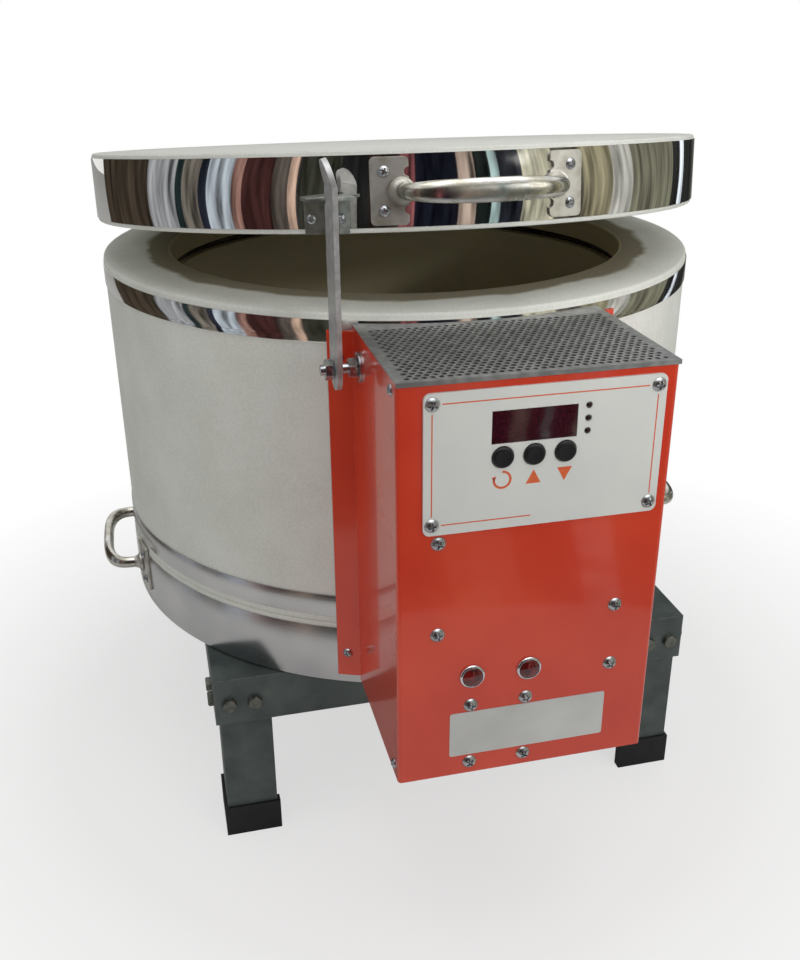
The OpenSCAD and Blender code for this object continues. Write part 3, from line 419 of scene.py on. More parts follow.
bolts = bmesh.new()
head = hex_head(SHOWN_AF, HEX_H)
soften(head, 0.25, segments=2)
for quarter in range(4):
    for side in (-1, 1):
        for away in BOLTS_FROM_CORNER:
            spot = out_of(90*quarter, side*(leg_half - away), bolt_z, stand_half)
            join(bolts, head, spot @ Matrix.Rotation(radians(17*quarter + 40*side + away), 4, "Z"))
            rod(bolts, SHANK_D, SHANK_LENGTH,
                spot @ Matrix.Translation((0, 0, SHANK_IN_HEAD - SHANK_LENGTH/2)), 24)
head.free()
DULLED = zinc_plate("painted_over_zinc", "#8b8e86", "#666a64", 0.5, 4)
stand_screws = show("stand_hex_screws", bolts, DULLED, place=STAND_AT)
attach(stand_screws, "kiln")
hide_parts("stand_bolts")


def moulded_plastic(name, colour, roughness, grain=0.6):
    """Moulded plastic: even colour, half-matt, with the fine spark texture of its mould."""
    material, tree, where = new_finish(name, colour, roughness)
    spark = add_node(tree, "TexNoise", {"Vector": where, "Scale": per_mm(grain), "Detail": 3.0})
    scuffs = add_node(tree, "TexNoise", {"Vector": where, "Scale": per_mm(14), "Detail": 5.0})
    vary_gloss(tree, scuffs, roughness*0.75, roughness*1.3)
    relief(tree, spark, 0.3, 0.12, rubbed_edges(tree, 0.5)[0])
    return material


dress(moulded_plastic("black_polyethylene", "#0d0e12", 0.55), "foot_caps")

# Ceramic fibre
# Floor slab, wall ring and lid slab of vacuum-formed ceramic fibre board: cream, dead matt, with a fine
# felted tooth. Its arrises crumble a little, and the faces that look into the chamber are discoloured
# by firing. The darker ring on the wall's rim top next to the chamber is painted shade of the lid.

body_r = corners("floor_slab")[1].x
band_r = corners("floor_band")[1].x
slab_z = corners("floor_slab")[0].z
wall_z = corners("floor_slab")[1].z
rim_z = corners("wall_ring")[1].z
CHAMBER_R = 177.8
# Radii between which the darker ring on the rim top, painted shade of the lid, fades out
LID_SHADE_R = (204, 209)
GROOVE_H, GROOVE_DEPTH, GROOVE_DOWN, GROOVE_PITCH = 6.6, 9.0, 21, 84
RIM_ROUND, GROOVE_ROUND, SLAB_ROUND = 2.0, 0.7, 2.5
groove_zs = [rim_z - GROOVE_DOWN - GROOVE_PITCH*row for row in range(3)]


def fibre_board(name, light, dark, shade_and_stain):
    """Felted ceramic fibre, with its tooth drawn coarse, at 1.6 mm, so that it shows."""
    material, tree, where = new_finish(name, light, 0.95)
    tree.nodes["Principled BSDF"].inputs["Specular IOR Level"].default_value = 0.2
    felt = add_node(tree, "TexNoise", {"Vector": where, "Scale": per_mm(1.6), "Detail": 5.0})
    cast = add_node(tree, "TexNoise", {"Vector": where, "Scale": per_mm(45), "Detail": 3.0})
    both = add_node(tree, "Math", {0: felt, 1: cast}, operation="ADD")
    clean = two_tone(tree, both, 0.75, 1.2, dark, light)
    centred = add_node(tree, "Mapping", {"Vector": where, "Location": -KILN_AT, "Scale": (1, 1, 0)})
    radius = add_node(tree, "VectorMath", {0: centred}, operation="LENGTH")
    ragged = add_node(tree, "Math", {0: cast, 1: 0.02, 2: radius.outputs["Value"]},
                      operation="MULTIPLY_ADD")
    # Within these radii the last colour takes over: painted shade of the lid on the rim top, the firing
    # discolouration on the fired board
    mottle(tree, ragged, LID_SHADE_R[0]*MM, LID_SHADE_R[1]*MM, shade_and_stain, clean)
    relief(tree, felt, 0.45, 0.5)
    return material


# The last colour of each fills the inner ring: painted lid shade on the wall's rim, none on the lid, firing
# discolouration on the fired board
FIBRE = fibre_board("ceramic_fibre_board", "#e9eae3", "#dcddd4", "#958d79")
LID_FIBRE = fibre_board("lid_fibre_board", "#e9eae3", "#dcddd4", "#e9eae3")
FIRED = fibre_board("fired_fibre_board", "#e8dfc2", "#d2c8a6", "#d2c8a6")


def stain_chamber(bm, facing_down=False):
    """Gives the second finish to the faces that look into the chamber."""
    for face in bm.faces:
        centre = face.calc_center_median()
        inside = hypot(centre.x, centre.y) < CHAMBER_R + GROOVE_DEPTH + 1
        if inside and (face.normal.z < 0.5) >= facing_down:
            face.material_index = 1


outline = [(body_r, wall_z), (body_r, rim_z), (CHAMBER_R, rim_z)]
for z in groove_zs:
    outline += [(CHAMBER_R, z + GROOVE_H/2), (CHAMBER_R + GROOVE_DEPTH, z + GROOVE_H/2),
                (CHAMBER_R + GROOVE_DEPTH, z - GROOVE_H/2), (CHAMBER_R, z - GROOVE_H/2)]
outline.append((CHAMBER_R, wall_z))
ring = turned(outline, 192)
soften(ring, RIM_ROUND, lambda e: min(v.co.z for v in e.verts) > rim_z - 1, 4)
soften(ring, GROOVE_ROUND, lambda e: max(v.co.z for v in e.verts) < rim_z - 10)
stain_chamber(ring)
wall = show("wall_fibre", ring, FIBRE, FIRED)
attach(wall, "kiln")
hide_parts("wall_ring")

base = turned([(0, slab_z), (body_r, slab_z), (body_r, wall_z), (CHAMBER_R, wall_z), (0, wall_z)], 192)
soften(base, SLAB_ROUND)
for face in base.faces:
    face.material_index = int(face.normal.z > 0.9)
slab = show("floor_fibre", base, FIBRE, FIRED)
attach(slab, "kiln")
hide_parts("floor_slab")

# Bands
# Stainless strip 0.8 mm thick drawn tight round wall and slab, its end lapped and spot-welded at the
# back. The band at the rim is polished, and the two round the foot and the slab keep their mill grain.


def polished_steel(name, colour, roughness, wave):
    """Bright-annealed stainless: a mirror that sways a little where the strip isn't quite true."""
    material, tree, where = new_finish(name, colour, roughness, 1.0)
    flat = add_node(tree, "Mapping", {"Vector": where, "Scale": (1, 1, 0.35)})
    sway = add_node(tree, "TexNoise", {"Vector": flat, "Scale": per_mm(38), "Detail": 1.0})
    smears = add_node(tree, "TexNoise", {"Vector": where, "Scale": per_mm(9), "Detail": 6.0})
    vary_gloss(tree, smears, roughness, roughness*2.5, 0.35, 0.75)
    relief(tree, sway, 1.0, wave)
    return material


def brushed_steel():
    """Mill-finish stainless: its grain runs round the kiln, half a millimetre from line to line."""
    material, tree, where = new_finish("mill_stainless", "#a8a8a9", 0.24, 1.0)
    lengthwise = add_node(tree, "Mapping", {"Vector": where, "Scale": (0.03, 0.03, 1)})
    lines = add_node(tree, "TexNoise", {"Vector": lengthwise, "Scale": per_mm(0.5), "Detail": 2.0})
    clouds = add_node(tree, "TexNoise", {"Vector": where, "Scale": per_mm(60), "Detail": 2.0})
    mottle(tree, clouds, 0.3, 0.7, "#b8b8ba", "#d0cfce")
    relief(tree, lines, 0.3, 0.08)
    return material


POLISHED = polished_steel("bright_annealed_stainless", "#dcdad6", 0.04, 0.35)
MILL = brushed_steel()
LAP_TURN, LAP_T = 9.0, 0.7
WELD_D, WELD_PITCH, WELD_TURNS = 3.5, 11.0, (2.5, 6.0)


def strip(bottom, width, lap_at):
    """A band from the height of its lower edge, its width, and its lap's angle from the front."""
    bm = turned([(body_r, bottom), (band_r, bottom), (band_r, bottom + width), (body_r, bottom + width)], 288)
    soften(bm, 0.2, segments=2)
    lap = bmesh.new()
    square = [lap.verts.new((band_r + dr, 0, bottom + dz))
              for dr, dz in ((0, 0), (LAP_T, 0), (LAP_T, width), (0, width))]
    lap.faces.new(square)
    bmesh.ops.spin(lap, geom=lap.verts[:] + lap.edges[:] + lap.faces[:], axis=(0, 0, 1), cent=(0, 0, 0),
                   angle=radians(LAP_TURN), steps=8)
    bmesh.ops.recalc_face_normals(lap, faces=lap.faces)
    soften(lap, 0.15, segments=2, angle=50)
    join(bm, lap, Matrix.Rotation(radians(lap_at - 90), 4, "Z"))
    lap.free()
    rows = int(width//WELD_PITCH)
    for row in range(rows):
        weld_z = bottom + width/2 + (row - (rows - 1)/2)*WELD_PITCH
        for turn in WELD_TURNS:
            bmesh.ops.create_cone(bm, cap_ends=True, segments=16, radius1=WELD_D/2, radius2=WELD_D*0.3,
                                  depth=0.1, matrix=out_of(lap_at + turn, 0, weld_z, band_r + LAP_T))
    return bm


for node, name, steel, slot_name, lap_at in (
        ("upper_band", "upper_strip", POLISHED, "polished_stainless", 140),
        ("lower_band", "lower_strip", MILL, "satin_stainless", 136),
        ("floor_band", "floor_strip", MILL, "satin_stainless", 138)):
    low, high = corners(node)
    hoop = show(name, strip(low.z, high.z - low.z, lap_at), steel)
    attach(hoop, "kiln")
    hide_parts(node)

dress(ZINC, "band_clamps")

# Heating
# Three rows of 1.2 mm resistance wire wound into a 5 mm coil that lies in its groove. The tails go out
# through the wall to hexagonal connectors in the box, and a ceramic sheath holds the thermocouple.

COIL_D, WIRE_D, COIL_PITCH, TURN_POINTS = 5.0, 1.2, 2.7, 9
TAIL_D, TAIL_ANGLE, TAIL_OUT = 3.6, 4.0, 22
CONNECTOR_AF, CONNECTOR_H, CONNECTOR_OUT = 8, 12, 10
COIL_CLEAR, COIL_SAG = 0.3, 0.5
coil_r = CHAMBER_R + GROOVE_DEPTH - COIL_CLEAR - COIL_D/2
coil_turns = int(2*pi*coil_r/COIL_PITCH*(1 - TAIL_ANGLE/180))


def heating_wire():
    """Iron-chrome-aluminium wire after its first firings: dull dark grey-brown oxide."""
    material, tree, where = new_finish("oxidised_resistance_wire", "#5b534b", 0.65, 0.6)
    scale = add_node(tree, "TexNoise", {"Vector": where, "Scale": per_mm(8), "Detail": 4.0})
    mottle(tree, scale, 0.35, 0.7, "#453f39", "#75695c")
    return material


WIRE = heating_wire()


def coil(height):
    """The wound wire as one swept tube, with its straight tails."""
    data = bpy.data.curves.new("coil", "CURVE")
    data.dimensions = "3D"
    data.bevel_depth = WIRE_D/2
    data.bevel_resolution = 1
    steps = coil_turns*TURN_POINTS
    line = data.splines.new("POLY")
    line.points.add(steps)
    for i in range(steps + 1):
        round_kiln = radians(TAIL_ANGLE - 90 + (360 - 2*TAIL_ANGLE)*i/steps)
        round_coil = 2*pi*i/TURN_POINTS
        r = coil_r + cos(round_coil)*(COIL_D - WIRE_D)/2
        line.points[i].co = (r*cos(round_kiln), r*sin(round_kiln),
                             height + sin(round_coil)*(COIL_D - WIRE_D)/2, 1)
    drawn = bpy.data.objects.new("coil", data)
    scene.collection.objects.link(drawn)
    bpy.context.view_layer.update()
    bm = bmesh.new()
    bm.from_mesh(drawn.evaluated_get(bpy.context.evaluated_depsgraph_get()).to_mesh())
    bpy.data.objects.remove(drawn)
    reach = body_r - coil_r + TAIL_OUT
    for side in (-1, 1):
        rod(bm, TAIL_D, reach, out_of(side*TAIL_ANGLE, 0, height, coil_r + reach/2))
    return bm


for row, groove_z in zip(("upper", "middle", "lower"), groove_zs):
    winding = coil(groove_z - COIL_SAG)
    connector = hex_head(CONNECTOR_AF, CONNECTOR_H)
    for side in (-1, 1):
        join(winding, connector, out_of(side*TAIL_ANGLE, 0, groove_z - COIL_SAG, body_r + CONNECTOR_OUT))
    connector.free()
    wound = show(f"{row}_coil", winding, WIRE)
    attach(wound, "kiln")
    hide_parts(f"{row}_element")

dress(moulded_plastic("glazed_steatite", "#e9e4d6", 0.35, 1.5), "thermocouple")

# Control box
# One 1.2 mm steel sheet folded round the front and sides, finished in glossy red-orange enamel, a bare
# perforated sheet laid on top with its front edge folded over, and an enamelled plate below.


def red_enamel():
    """Baked enamel: deep gloss over faint orange peel, a shade uneven, chipped pale along the folds."""
    material, tree, where = new_finish("baked_red_enamel", "#d8371c", 0.24)
    shader = tree.nodes["Principled BSDF"]
    shader.inputs["Coat Weight"].default_value = 0.6
    shader.inputs["Coat Roughness"].default_value = 0.06
    shade = add_node(tree, "TexNoise", {"Vector": where, "Scale": per_mm(70), "Detail": 4.0})
    peel = add_node(tree, "TexNoise", {"Vector": where, "Scale": per_mm(2.4), "Detail": 1.0})
    paint = two_tone(tree, shade, 0.3, 0.7, "#d5361b", "#e24420")
    normal, edge = rubbed_edges(tree, 0.8)
    chips = add_node(tree, "TexNoise", {"Vector": where, "Scale": per_mm(6), "Detail": 5.0})
    worn = add_node(tree, "Math", {0: edge, 1: chips}, operation="MULTIPLY")
    mottle(tree, worn, 0.50, 0.62, paint, "#f08a70")
    relief(tree, peel, 0.12, 0.2, normal)
    return material


dress(red_enamel(), "control_case", "case_bottom")


def perforated_steel():
    """Mill-finish perforated sheet: pale grey, softly spangled, edges of the holes left sheared."""
    material, tree, where = new_finish("perforated_mill_steel", "#b9babb", 0.36, 0.85)
    spangle = add_node(tree, "TexVoronoi", {"Vector": where, "Scale": per_mm(6)})
    clouds = add_node(tree, "TexNoise", {"Vector": where, "Scale": per_mm(25), "Detail": 3.0})
    both = add_node(tree, "Math", {0: spangle, 1: clouds}, operation="ADD")
    mottle(tree, both, 0.6, 1.3, "#c4c5c6", "#a2a4a6")
    relief(tree, clouds, 0.1, 0.2)
    return material


dress(perforated_steel(), "case_top")
dress(moulded_plastic("black_nylon", "#191a1c", 0.4), "cord_gland")

# Screws
# Zinc-plated thread-forming screws with domed heads and a cross recess. Each head is turned to its own
# angle, as a hand-driven screw ends up.

SCREW_D = 3.6
case_front = -corners("control_case")[0].y
case_x = middle("case_bottom").x
case_top = corners("case_top")[1].z
case_bottom = corners("case_bottom")[0].z
CASE_W = corners("case_top")[1].x - corners("case_top")[0].x
HEAD_D, SMALL_HEAD_D, PANEL_HEAD_D, CATCH_HEAD_D = 9.2, 7.0, 8.6, 6.4
# Shares of a head's width, and of its height for the depth
HEAD_RISE, SLOT_LENGTH, SLOT_W, SLOT_DEPTH = 0.304, 0.58, 0.13, 1.3


def block(bm, size, place):
    """Adds a box of this size, centred on a place."""
    bmesh.ops.create_cube(bm, size=1, matrix=place @ Matrix.Diagonal((*size, 1)))


def cross_head(across):
    """Domed head with a cross recess, on the plane z = 0."""
    height = across*HEAD_RISE
    ball = (across*across/4 + height*height)/(2*height)
    top = asin(across/2/ball)
    arc = [(ball*sin(top*i/7), height - ball + ball*cos(top*i/7)) for i in range(8)]
    bm = turned([(0, 0), (across/2, 0)] + arc[-2::-1], 40)
    for turn in (0, pi/2):
        bar = bmesh.new()
        place = Matrix.Rotation(turn, 4, "Z") @ Matrix.Translation((0, 0, height))
        block(bar, (across*SLOT_LENGTH, across*SLOT_W, height*SLOT_DEPTH), place)
        bm = cut(bm, bar)
    return bm


def driven(*rows):
    """Screws in one mesh, from rows of head width, places and shank length."""
    bm = bmesh.new()
    for across, places, length in rows:
        head = cross_head(across)
        for index, place in enumerate(places):
            join(bm, head, place @ Matrix.Rotation(radians(53*index + 11), 4, "Z"))
            rod(bm, SCREW_D, length, place @ Matrix.Translation((0, 0, SHANK_IN_HEAD - length/2)))
        head.free()
    return bm


FRONT_SHANK, SIDE_SHANK, FLANGE_SHANK, PANEL_SHANK = 7, 5, 14, 18.7
# Middle (x, z) of the terminal block, relay and transformer, and their screws' spacing across and up
FITTINGS = (((case_x - 56.8, case_bottom + 134.6), (0, 60.3)),
            ((case_x + 54.4, case_bottom + 88), (0, 42)),
            ((case_x - 17.7, case_bottom + 29.8), (35.3, 42.8)))
front_places = [out_of(0, x + s*across/2, z + t*up/2, case_front)
                for (x, z), (across, up) in FITTINGS
                for s in ((-1, 1) if across else (0,)) for t in (-1, 1)]
front = show("front_cross_screws", driven((HEAD_D, front_places, FRONT_SHANK)), ZINC)
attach(front, "kiln")
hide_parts("front_screws")

SIDE_IN, SIDE_UP, FLANGE_UP, FLANGE_OUT, FLANGE_T, FLANGE_GAP = 11, 7.5, 22, 7.8, 1.2, 0.3
flange_r = band_r + FLANGE_GAP
side_places = [Matrix.Translation((case_x + s*CASE_W/2, -case_front + SIDE_IN, z))
               @ Matrix.Rotation(s*pi/2, 4, "Y")
               for s in (-1, 1) for z in (case_bottom + SIDE_UP, case_top - SIDE_UP)]
flange_places = [out_of(degrees(asin((case_x + s*(CASE_W/2 + FLANGE_OUT))/flange_r)), 0, z,
                        flange_r + FLANGE_T)
                 for s in (-1, 1) for z in (case_bottom + FLANGE_UP, case_top - FLANGE_UP)]
sides = show("case_cross_screws", driven((SMALL_HEAD_D, side_places, SIDE_SHANK),
                                          (SMALL_HEAD_D, flange_places, FLANGE_SHANK)), ZINC)
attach(sides, "kiln")
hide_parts("case_screws")

# Control panel
# A 1.5 mm plate with an off-white film on it. The film carries a thin red frame and a mark under each
# button, printed solid. Four screws pass through plate, box and spacers to the board behind.

panel_x = middle("control_panel").x
panel_z = middle("control_panel").z
panel_face = -corners("control_panel")[0].y
PANEL_SCREWS = (130, 71.4)
PRINT_T = 0.06


def panel_film():
    """Screen-printed polyester film: off-white, satin, with the faint dimple of its texture."""
    material, tree, where = new_finish("printed_polyester_film", "#e3e4df", 0.42)
    velvet = add_node(tree, "TexNoise", {"Vector": where, "Scale": per_mm(0.9), "Detail": 2.0})
    clouds = add_node(tree, "TexNoise", {"Vector": where, "Scale": per_mm(40), "Detail": 2.0})
    mottle(tree, clouds, 0.3, 0.7, "#dddfdb", "#e6e6e0")
    relief(tree, velvet, 0.15, 0.08, rubbed_edges(tree, 0.4)[0])
    return material


dress(panel_film(), "control_panel")


def printing_ink():
    """Screen ink: flat red-orange with slightly starved edges."""
    material, tree, where = new_finish("screen_ink", "#e2602f", 0.5)
    starved = add_node(tree, "TexNoise", {"Vector": where, "Scale": per_mm(0.8), "Detail": 3.0})
    mottle(tree, starved, 0.35, 0.65, "#e8743f", "#de5526")
    return material


def printed_line(bm, start, end, width=0.7):
    """A printed line between two points of the panel, (right, up) from its middle."""
    a, b = Vector(start), Vector(end)
    along = (b - a).normalized()
    across = Vector((-along.y, along.x))*width/2
    bm.faces.new([bm.verts.new((*p, 0)) for p in (a - across, b - across, b + across, a + across)])


ink = bmesh.new()
FRAME_LEFT, FRAME_RIGHT, FRAME_TOP, FRAME_BOTTOM = -65.2, 65.0, 35.6, -35.9
FRAME_OPEN_FROM = -7.2
SCREW_CLEAR = 5.5
printed_line(ink, (FRAME_LEFT + SCREW_CLEAR, FRAME_TOP), (FRAME_RIGHT - SCREW_CLEAR, FRAME_TOP))
printed_line(ink, (FRAME_LEFT, FRAME_TOP - SCREW_CLEAR), (FRAME_LEFT, FRAME_BOTTOM + SCREW_CLEAR))
printed_line(ink, (FRAME_RIGHT, FRAME_TOP - SCREW_CLEAR), (FRAME_RIGHT, FRAME_BOTTOM + SCREW_CLEAR))
printed_line(ink, (FRAME_LEFT + SCREW_CLEAR, FRAME_BOTTOM), (FRAME_OPEN_FROM, FRAME_BOTTOM))
BUTTON_X, BUTTON_Z, BUTTON_PITCH, BUTTON_D = -6.5, 1.6, 18.3, 12.5
MARK_Z, MARK_SIZE, RING_IN, RING_OUT, RING_SWEEP = -12.0, 5.1, 0.82, 1.08, 285
TRIANGLE_TALL, TRIANGLE_OFF = 1.09, 1.2
for column, up in ((0, 1), (1, -1)):
    at = (BUTTON_X + column*BUTTON_PITCH, MARK_Z - TRIANGLE_OFF*up, 0)
    bmesh.ops.create_circle(ink, cap_ends=True, segments=3, radius=MARK_SIZE, matrix=Matrix.Translation(at)
                            @ Matrix.Diagonal((1, TRIANGLE_TALL, 1, 1))
                            @ Matrix.Rotation(radians(90*up - 90), 4, "Z"))
arc_middle = Vector((BUTTON_X - BUTTON_PITCH, MARK_Z, 0))
inner = ink.verts.new(arc_middle + Vector((0, MARK_SIZE*RING_IN, 0)))
outer = ink.verts.new(arc_middle + Vector((0, MARK_SIZE*RING_OUT, 0)))
sweep = ink.edges.new((inner, outer))
tail_at = radians(90 - RING_SWEEP)
tail = arc_middle + Vector((cos(tail_at), sin(tail_at), 0))*MARK_SIZE*(RING_IN + RING_OUT)/2
bmesh.ops.create_circle(ink, cap_ends=True, segments=3, radius=MARK_SIZE/3, matrix=Matrix.Translation(tail)
                        @ Matrix.Rotation(tail_at - pi/2, 4, "Z"))
bmesh.ops.spin(ink, geom=[inner, outer, sweep], axis=(0, 0, -1), cent=arc_middle,
               angle=radians(RING_SWEEP), steps=28)
bmesh.ops.recalc_face_normals(ink, faces=ink.faces)
solid = bmesh.ops.extrude_face_region(ink, geom=ink.faces[:])["geom"]
bmesh.ops.translate(ink, vec=(0, 0, PRINT_T), verts=[v for v in solid if isinstance(v, bmesh.types.BMVert)])
bmesh.ops.recalc_face_normals(ink, faces=ink.faces)
ink.transform(out_of(0, panel_x, panel_z, panel_face))
prints = show("panel_print", ink, printing_ink())
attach(prints, "kiln")

plate_places = [out_of(0, panel_x + s*PANEL_SCREWS[0]/2, panel_z + t*PANEL_SCREWS[1]/2, panel_face)
                for s in (-1, 1) for t in (-1, 1)]
plate_screws = show("panel_cross_screws", driven((PANEL_HEAD_D, plate_places, PANEL_SHANK)), ZINC)
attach(plate_screws, "kiln")
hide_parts("panel_screws")

# Display, lamps and buttons
# A dark red acrylic lens over the unlit digits, three small smoked lamps, and three black moulded
# buttons with rounded edges and a shallow dish for the finger.


def dark_acrylic(name, colour, inner):
    """Deep red filter plastic: nearly black, glossy, faintly uneven over the digits behind it."""
    material, tree, where = new_finish(name, colour, 0.12)
    shader = tree.nodes["Principled BSDF"]
    shader.inputs["Coat Weight"].default_value = 0.4
    shader.inputs["Coat Roughness"].default_value = 0.05
    cells = add_node(tree, "TexNoise", {"Vector": where, "Scale": per_mm(1.6), "Detail": 3.0})
    mottle(tree, cells, 0.35, 0.7, colour, inner)
    return material


LENS_T, LENS_EDGE = 1.3, 1.0
window_low, window_high = corners("display_window")
window = window_high - window_low
lens = bmesh.new()
block(lens, (window.x, LENS_T, window.z),
      Matrix.Translation(window_low + Vector((window.x, LENS_T, window.z))/2))
soften(lens, 0.35)
block(lens, (window.x - 2*LENS_EDGE, window.y - LENS_T, window.z - 2*LENS_EDGE),
      Matrix.Translation(middle("display_window") + Vector((0, LENS_T/2, 0))))
display = show("display_lens", lens, dark_acrylic("red_filter_acrylic", "#2c0b14", "#47121f"))
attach(display, "kiln")
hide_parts("display_window")

dress(dark_acrylic("smoked_diode", "#1c0a0d", "#2c1013"), "indicator_lamps")

BUTTON_BLACK = moulded_plastic("black_button_abs", "#141417", 0.38, 0.8)
CAP_ROUND, DISH_EDGE, DISH_DEPTH, LIP_OUT, LIP_T = 1.3, 1.6, 0.35, 1.5, 1.4
cap_r = BUTTON_D/2
button_foot = -corners("start_button")[1].y
cap_top = -corners("start_button")[0].y - button_foot
round_over = [(cap_r - CAP_ROUND*(1 - cos(radians(a))), cap_top - CAP_ROUND*(1 - sin(radians(a))))
              for a in range(0, 76, 15)]
dish = [((cap_r - DISH_EDGE)*i/5, cap_top - DISH_DEPTH*(1 - (i/5)**2)) for i in range(5, -1, -1)]
for column, node in enumerate(("start_button", "raise_button", "lower_button")):
    cap = turned([(0, 0), (cap_r + LIP_OUT, 0), (cap_r + LIP_OUT, LIP_T), (cap_r, LIP_T)]
                 + round_over + dish, 64)
    cap.transform(out_of(0, panel_x + BUTTON_X + (column - 1)*BUTTON_PITCH, panel_z + BUTTON_Z, button_foot))
    knob = show(f"{node}_cap", cap, BUTTON_BLACK)
    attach(knob, node)
    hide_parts(node)

# Pilot lights and label
# Two neon pilots, each a domed dark red lens in a turned chrome rim, and below them a plain aluminium
# label plate with nothing on it.


def chrome():
    """Decorative chrome on brass: a clean bright mirror."""
    material, tree, where = new_finish("bright_chrome", "#dfe2e6", 0.06, 1.0)
    dust = add_node(tree, "TexNoise", {"Vector": where, "Scale": per_mm(3), "Detail": 4.0})
    vary_gloss(tree, dust, 0.03, 0.14)
    return material


def pilot_lens():
    """Red polycarbonate over an unlit neon: deep red, glossy, a little light inside."""
    material, tree, where = new_finish("red_lens_polycarbonate", "#6d1113", 0.1)
    shader = tree.nodes["Principled BSDF"]
    shader.inputs["Coat Weight"].default_value = 0.5
    shader.inputs["Transmission Weight"].default_value = 0.25
    glow = add_node(tree, "TexNoise", {"Vector": where, "Scale": per_mm(5), "Detail": 2.0})
    mottle(tree, glow, 0.35, 0.65, "#4d0b0e", "#8c1c1b")
    return material


PILOT_D, PILOT_PITCH, LENS_DEEP, LENS_PROUD = 15.8, 36, 26, 3.2
LUG_SIZE, LUG_Z = (0.8, 5, 8.4), -29.8
pilot_x, pilot_z = case_x - 16.9, case_bottom + 72.3
LENS_D = PILOT_D - 3.4
rim = turned([(LENS_D/2 + 0.1, 0), (PILOT_D/2, 0), (PILOT_D/2, 0.7), (PILOT_D/2 - 0.35, 1.35),
              (PILOT_D/2 - 0.95, 1.75), (LENS_D/2 + 0.35, 1.75), (LENS_D/2 + 0.1, 1.45)], 64)
soften(rim, 0.15, segments=2, angle=20)
rims = bmesh.new()
glass = turned([(0, -LENS_DEEP), (LENS_D/2, -LENS_DEEP), (LENS_D/2, 1.5)]
               + [(LENS_D/2*cos(radians(a)), 1.5 + 1.7*sin(radians(a))) for a in range(15, 90, 15)]
               + [(0, LENS_PROUD)], 48)
glasses = bmesh.new()
for side in (-1, 1):
    spot = out_of(0, pilot_x + side*PILOT_PITCH/2, pilot_z, case_front)
    join(rims, rim, spot)
    join(glasses, glass, spot)
    for lug_x in (-3, 3):
        block(glasses, LUG_SIZE, spot @ Matrix.Translation((lug_x, 0, LUG_Z)))
rim.free()
glass.free()
rims = show("pilot_chrome_rims", rims, chrome())
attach(rims, "kiln")
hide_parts("pilot_bezels")
glasses = show("pilot_red_lenses", glasses, pilot_lens())
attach(glasses, "kiln")
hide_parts("pilot_lenses")


def label_plate():
    """Anodised aluminium foil label: pale silver-grey, fine brushed grain along its length."""
    material, tree, where = new_finish("anodised_label_foil", "#d5d6d3", 0.42, 0.35)
    along = add_node(tree, "Mapping", {"Vector": where, "Scale": (0.02, 1, 1)})
    lines = add_node(tree, "TexNoise", {"Vector": along, "Scale": per_mm(0.5), "Detail": 2.0})
    clouds = add_node(tree, "TexNoise", {"Vector": where, "Scale": per_mm(30), "Detail": 2.0})
    mottle(tree, clouds, 0.3, 0.7, "#cdcecb", "#dddedb")
    relief(tree, lines, 0.15, 0.05)
    return material


dress(label_plate(), "blank_label")

# Inside the box
# The controller board on its spacers, the relay, the terminal block and the small transformer. They show
# only through the perforated top.


def circuit_board():
    """Glass-epoxy board: green solder mask with paler tracks on a 2.5 mm grid."""
    material, tree, where = new_finish("green_solder_mask", "#1f5c34", 0.35)
    tracks = add_node(tree, "TexVoronoi", {"Vector": where, "Scale": per_mm(2.5)}, distance="CHEBYCHEV")
    mottle(tree, tracks, 0.4, 0.5, "#1f5c34", "#3d8a4f")
    return material


dress(circuit_board(), "circuit_board")
dress(ZINC, "board_spacers")
dress(moulded_plastic("dark_phenolic", "#2a2c31", 0.5), "relay", "terminal_block")


def laminations():
    """Varnished transformer iron: brown, half-gloss, its 0.5 mm sheets drawn as 1 mm lines to show."""
    material, tree, where = new_finish("varnished_laminations", "#7b5a35", 0.45)
    sheets = add_node(tree, "TexWave", {"Vector": where, "Scale": per_mm(6.28)}, bands_direction="Y")
    mottle(tree, sheets, 0.3, 0.7, "#5d4429", "#8c6a3f")
    return material


dress(laminations(), "transformer")

# Prop arm
# A flat zinc-plated bar on a bolt, standing in the slot of the lid's catch bracket. Its face is dulled
# and scratched by the catch, and its washer and nuts are brighter.

FLAT_BAR = zinc_plate("worn_zinc_bar", "#d6d6d6", "#b8b9b9", 0.46, 6, 0.7)
dress(ZINC, "pivot_washer", "pivot_bolt")
TAB_TOP, TAB_EASED, BEND_CLEAR, BAR_T = 14.0, 13, 1.5, 3.2
bend_z = corners("prop_arm")[1].z - TAB_TOP
arm_x = corners("prop_arm")[1].x - BAR_T/2
bar = bmesh.new()
bar.from_mesh(frame["nodes"]["prop_arm"].data)
bar.transform((ON_KILN @ Matrix.Scale(MM, 4)).inverted())
bmesh.ops.dissolve_limit(bar, angle_limit=radians(1), verts=bar.verts[:], edges=bar.edges[:])
bmesh.ops.rotate(bar, cent=(arm_x, 0, bend_z), matrix=Matrix.Rotation(radians(TAB_EASED), 3, "Y"),
                 verts=[v for v in bar.verts if v.co.z > bend_z + BEND_CLEAR])
soften(bar, 0.35, segments=2, angle=40)
bar = show("prop_flat_bar", bar, FLAT_BAR)
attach(bar, "prop_arm")
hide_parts("prop_arm")

